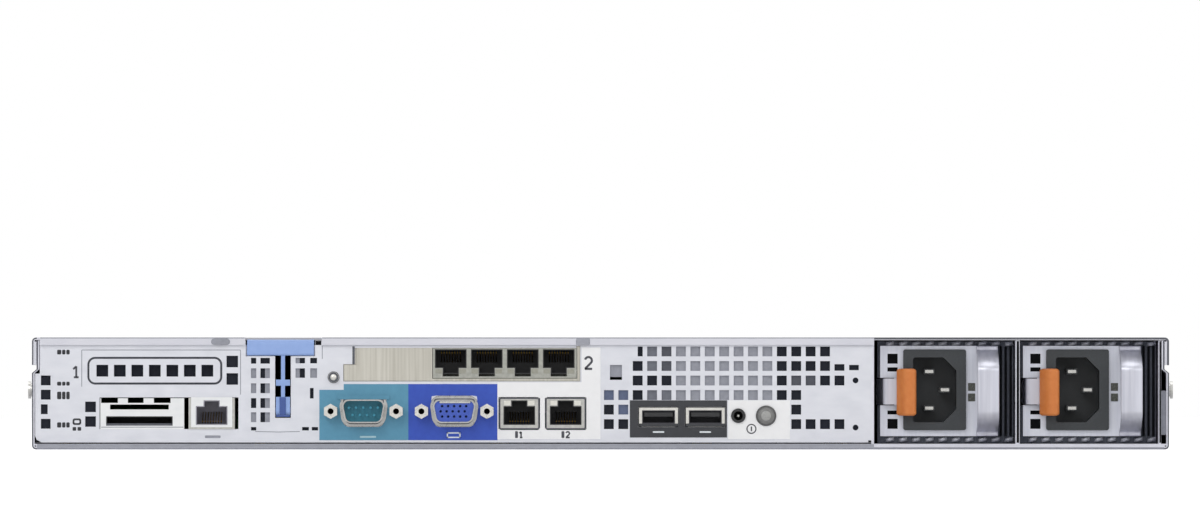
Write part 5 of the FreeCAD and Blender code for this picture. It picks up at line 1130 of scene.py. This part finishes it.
# The floor shows its edge below, and the folded hem lies on it as far as the supplies; both ribbons are grey,
# painted shade.
FLOOR_Z, FLOOR_EDGE, HEM_Z, HEM_EDGE = 0.45, 0.85, 1.55, 1.2
LIP_RIGHT = box_mm("rear_wall")[1][0] + SHEET
floor_end = side_x - BEND
floor_edge_shade = stroke(line((-floor_end, FLOOR_Z), (floor_end, FLOOR_Z)), FLOOR_EDGE, REAR_EDGE)
add_piece("floor_edge_shade", [floor_edge_shade], zinc_grey_painted_light_and_print, "chassis")
hem_edge_shade = stroke(line((-floor_end, HEM_Z), (LIP_RIGHT, HEM_Z)), HEM_EDGE, REAR_EDGE)
add_piece("hem_edge_shade", [hem_edge_shade], hem_shade_grey, "chassis")

# %% Edges of the lid
SKIRT, SKIRT_MIDDLE, ROOF_STOP, ROOF_EDGE, ROOF_DROP = 10.5, 6.0, 160.0, 0.75, 0.1
skirt_low, roof_z = HEIGHT - SKIRT, HEIGHT - EDGE_IN
lid_bend = bent((side_x - BEND, roof_z), (side_x, roof_z), (side_x, HEIGHT - BEND))
lid_side = row([*lid_bend, (side_x, HEIGHT - SKIRT_MIDDLE), (side_x, skirt_low)])
over_bays = row([(LIP_RIGHT, roof_z), (ROOF_STOP, roof_z), *lid_side]) - ROOF_DROP
lid_ribbons = [stroke(over_bays, ROOF_EDGE, REAR_EDGE), stroke(lid_side * (-1, 1), EDGE, REAR_EDGE)]
add_piece("lid_edges", lid_ribbons, edge_and_shade_grey, "cover")
# The ends of both skirts are folded inwards by less than a millimetre.
RETURN, RETURN_DEEP, RETURN_THICK = (1.68, 0.95), 0.5, 0.45
return_x = HALF_WIDTH - row(RETURN)
returns = tiles([(run, (skirt_low, HEIGHT - BEND)) for run in (-return_x[::-1], return_x)],
                REAR_EDGE + RETURN_DEEP, RETURN_THICK, radius=0.05)
add_piece("lid_returns", returns, lid_zinc, "cover")
# The lip hangs from the roof, and a thin shade shows along the bend.
LIP_LINE, LIP_LINE_IN = 0.35, 0.2
LIP_RUNS = ((-213.8, -135.8), (-106.2, LIP_RIGHT))
lip_lines = [stroke(line((start, HEIGHT - LIP_LINE_IN), (end, HEIGHT - LIP_LINE_IN)), LIP_LINE, lip_face)
             for start, end in LIP_RUNS]
add_piece("lip_lines", lip_lines, zinc_grey_painted_light_and_print, "cover")

# %% Edges of the bay walls
# Near-black ribbons at the divider and at the outer bay wall paint the shade in the gaps there.
BAY_LOW, BAY_HIGH = 2.6, 41.4
bay_right = box_mm("psu_bay_walls")[1][0]
divider = (box_mm("psu_1_case")[1][0] + SUPPLY_LEFT[1]) / 2
DIVIDER_SEAM, OUTER_SEAM = (divider + 0.1, 0.95), (bay_right - 0.37, 0.65)
bay_seam_shades = [stroke(line((x, BAY_LOW), (x, BAY_HIGH)), wide, WALL) for x, wide in (DIVIDER_SEAM, OUTER_SEAM)]
add_piece("bay_seam_shades", bay_seam_shades, deep_shade_black, "chassis")
# A grey tile in the gap between the last bay wall and the tray's side paints the light reflected from the
# tray's side wall.
REFLECTION_Z, REFLECTION_DEEP, REFLECTION_THICK = (5.6, 22.5), 2.4, 0.6
REFLECTION_X = (bay_right - 0.1, HALF_WIDTH - 0.9)
reflection_tile = flat_piece(REFLECTION_X, REFLECTION_Z, WALL + REFLECTION_DEEP, REFLECTION_THICK, radius=0.5)
add_piece("side_wall_reflection", [reflection_tile], zinc_grey_painted_light_and_print, "chassis")

# %% [markdown]
# ## Stage, light and camera
# The photograph is taken straight at the rear through a long lens, with the server low in a white
# frame. The world is white to the camera and to mirror rays, and the floor is lifted towards white
# for the camera only. The light on the object is soft and plain, so a colour shows about as it was
# picked.

# %% Floor
FLOOR_HALF, FLOOR_THICK, FLOOR_CORNER, FLOOR_LIFT = 6000.0, 20.0, 10.0, 0.5
paper = finish("matt_white_paper", "#F6F6F6", "#FBFBFB", 40, 0.0, 0.8, bump=0.0)
paper_tree = paper.node_tree
paper_rays = add(paper_tree, "ShaderNodeLightPath")
paper_lift = add(paper_tree, "ShaderNodeMath", {0: paper_rays.outputs["Is Camera Ray"], 1: FLOOR_LIFT},
                 operation="MULTIPLY")
paper_body = next(node for node in paper_tree.nodes if node.type == "BSDF_PRINCIPLED")
paper_body.inputs["Emission Color"].default_value = (1, 1, 1, 1)
paper_tree.links.new(paper_lift.outputs[0], paper_body.inputs["Emission Strength"])
floor_run = span(0, FLOOR_HALF)
floor_outline = rounded_rectangle(floor_run, floor_run, FLOOR_CORNER)
floor_points, floor_faces = prism(floor_outline, (-FLOOR_THICK, 0))
floor_mesh = bpy.data.meshes.new("floor")
floor_mesh.from_pydata((floor_points * MM).tolist(), [], floor_faces)
floor = bpy.data.objects.new("floor", floor_mesh)
floor_mesh.materials.append(paper)
bpy.context.scene.collection.objects.link(floor)
print("floor", 2 * FLOOR_HALF, "mm across")

# %% World
SHOWN, LIGHT = 1.0, 0.5
world = bpy.data.worlds.new("white_studio")
bpy.context.scene.world = world
world.use_nodes = True
tree = world.node_tree
tree.nodes.clear()
rays = add(tree, "ShaderNodeLightPath")
seen = add(tree, "ShaderNodeMath", {0: rays.outputs["Is Camera Ray"], 1: rays.outputs["Is Glossy Ray"]},
           operation="MAXIMUM")
seen = add(tree, "ShaderNodeMath", {0: seen.outputs[0], 1: rays.outputs["Is Transmission Ray"]},
           operation="MAXIMUM")
shine = add(tree, "ShaderNodeBackground", {"Color": (1, 1, 1, 1), "Strength": SHOWN})
glow = add(tree, "ShaderNodeBackground", {"Color": (1, 1, 1, 1), "Strength": LIGHT})
both = add(tree, "ShaderNodeMixShader", {0: seen.outputs[0], 1: glow.outputs[0], 2: shine.outputs[0]})
add(tree, "ShaderNodeOutputWorld", {0: both.outputs[0]})
print("world lights at", LIGHT, "and shows as", SHOWN)


# %% Lamps
def soft_lamp(name, place, target, size, power):
    """Square area lamp at a place in metres, turned to a target."""
    data = bpy.data.lights.new(name, "AREA")
    data.shape, data.size, data.energy = "SQUARE", size, power
    lamp = bpy.data.objects.new(name, data)
    lamp.location = place
    aim = np.array(target) - np.array(place)
    flat = math.hypot(aim[0], aim[1])
    lamp.rotation_euler = (math.atan2(flat, -aim[2]), 0, math.atan2(-aim[0], aim[1]))
    bpy.context.scene.collection.objects.link(lamp)
    print("lamp", name, power, "W")


REAR_MIDDLE, CASE_MIDDLE = (0, -0.3, 0.02), (0, 0, 0)
soft_lamp("key", place=(-0.9, -2.2, 1.5), target=REAR_MIDDLE, size=1.6, power=18)
soft_lamp("fill", place=(1.3, -1.9, 0.7), target=REAR_MIDDLE, size=1.2, power=5)
soft_lamp("top", place=(0.2, 0.4, 2.4), target=CASE_MIDDLE, size=1.6, power=11)

# %% Camera
PHOTO_WIDE, PHOTO_HIGH = 1200, 506
PIXELS_PER_MM = 2.62
VIEW_MIDDLE_X, VIEW_MIDDLE_Y = 600.5, 393.5
DISTANCE, SENSOR, CLIP_END = 5000.0, 36.0, 50.0
camera_data = bpy.data.cameras.new("camera")
camera = bpy.data.objects.new("camera", camera_data)
bpy.context.scene.collection.objects.link(camera)
bpy.context.scene.camera = camera
camera_data.sensor_width = SENSOR
camera_data.lens = SENSOR * DISTANCE / (PHOTO_WIDE / PIXELS_PER_MM)
camera_data.shift_x = (PHOTO_WIDE / 2 - VIEW_MIDDLE_X) / PHOTO_WIDE
camera_data.shift_y = (VIEW_MIDDLE_Y - PHOTO_HIGH / 2) / PHOTO_WIDE
camera_data.clip_end = CLIP_END
camera.location = (0, (WALL - DISTANCE) * MM, HEIGHT / 2 * MM)
camera.rotation_euler = (math.pi / 2, 0, 0)
bpy.context.scene.view_settings.view_transform = "Standard"
print("lens", round(camera_data.lens, 1), "mm, shift", round(camera_data.shift_y, 4))
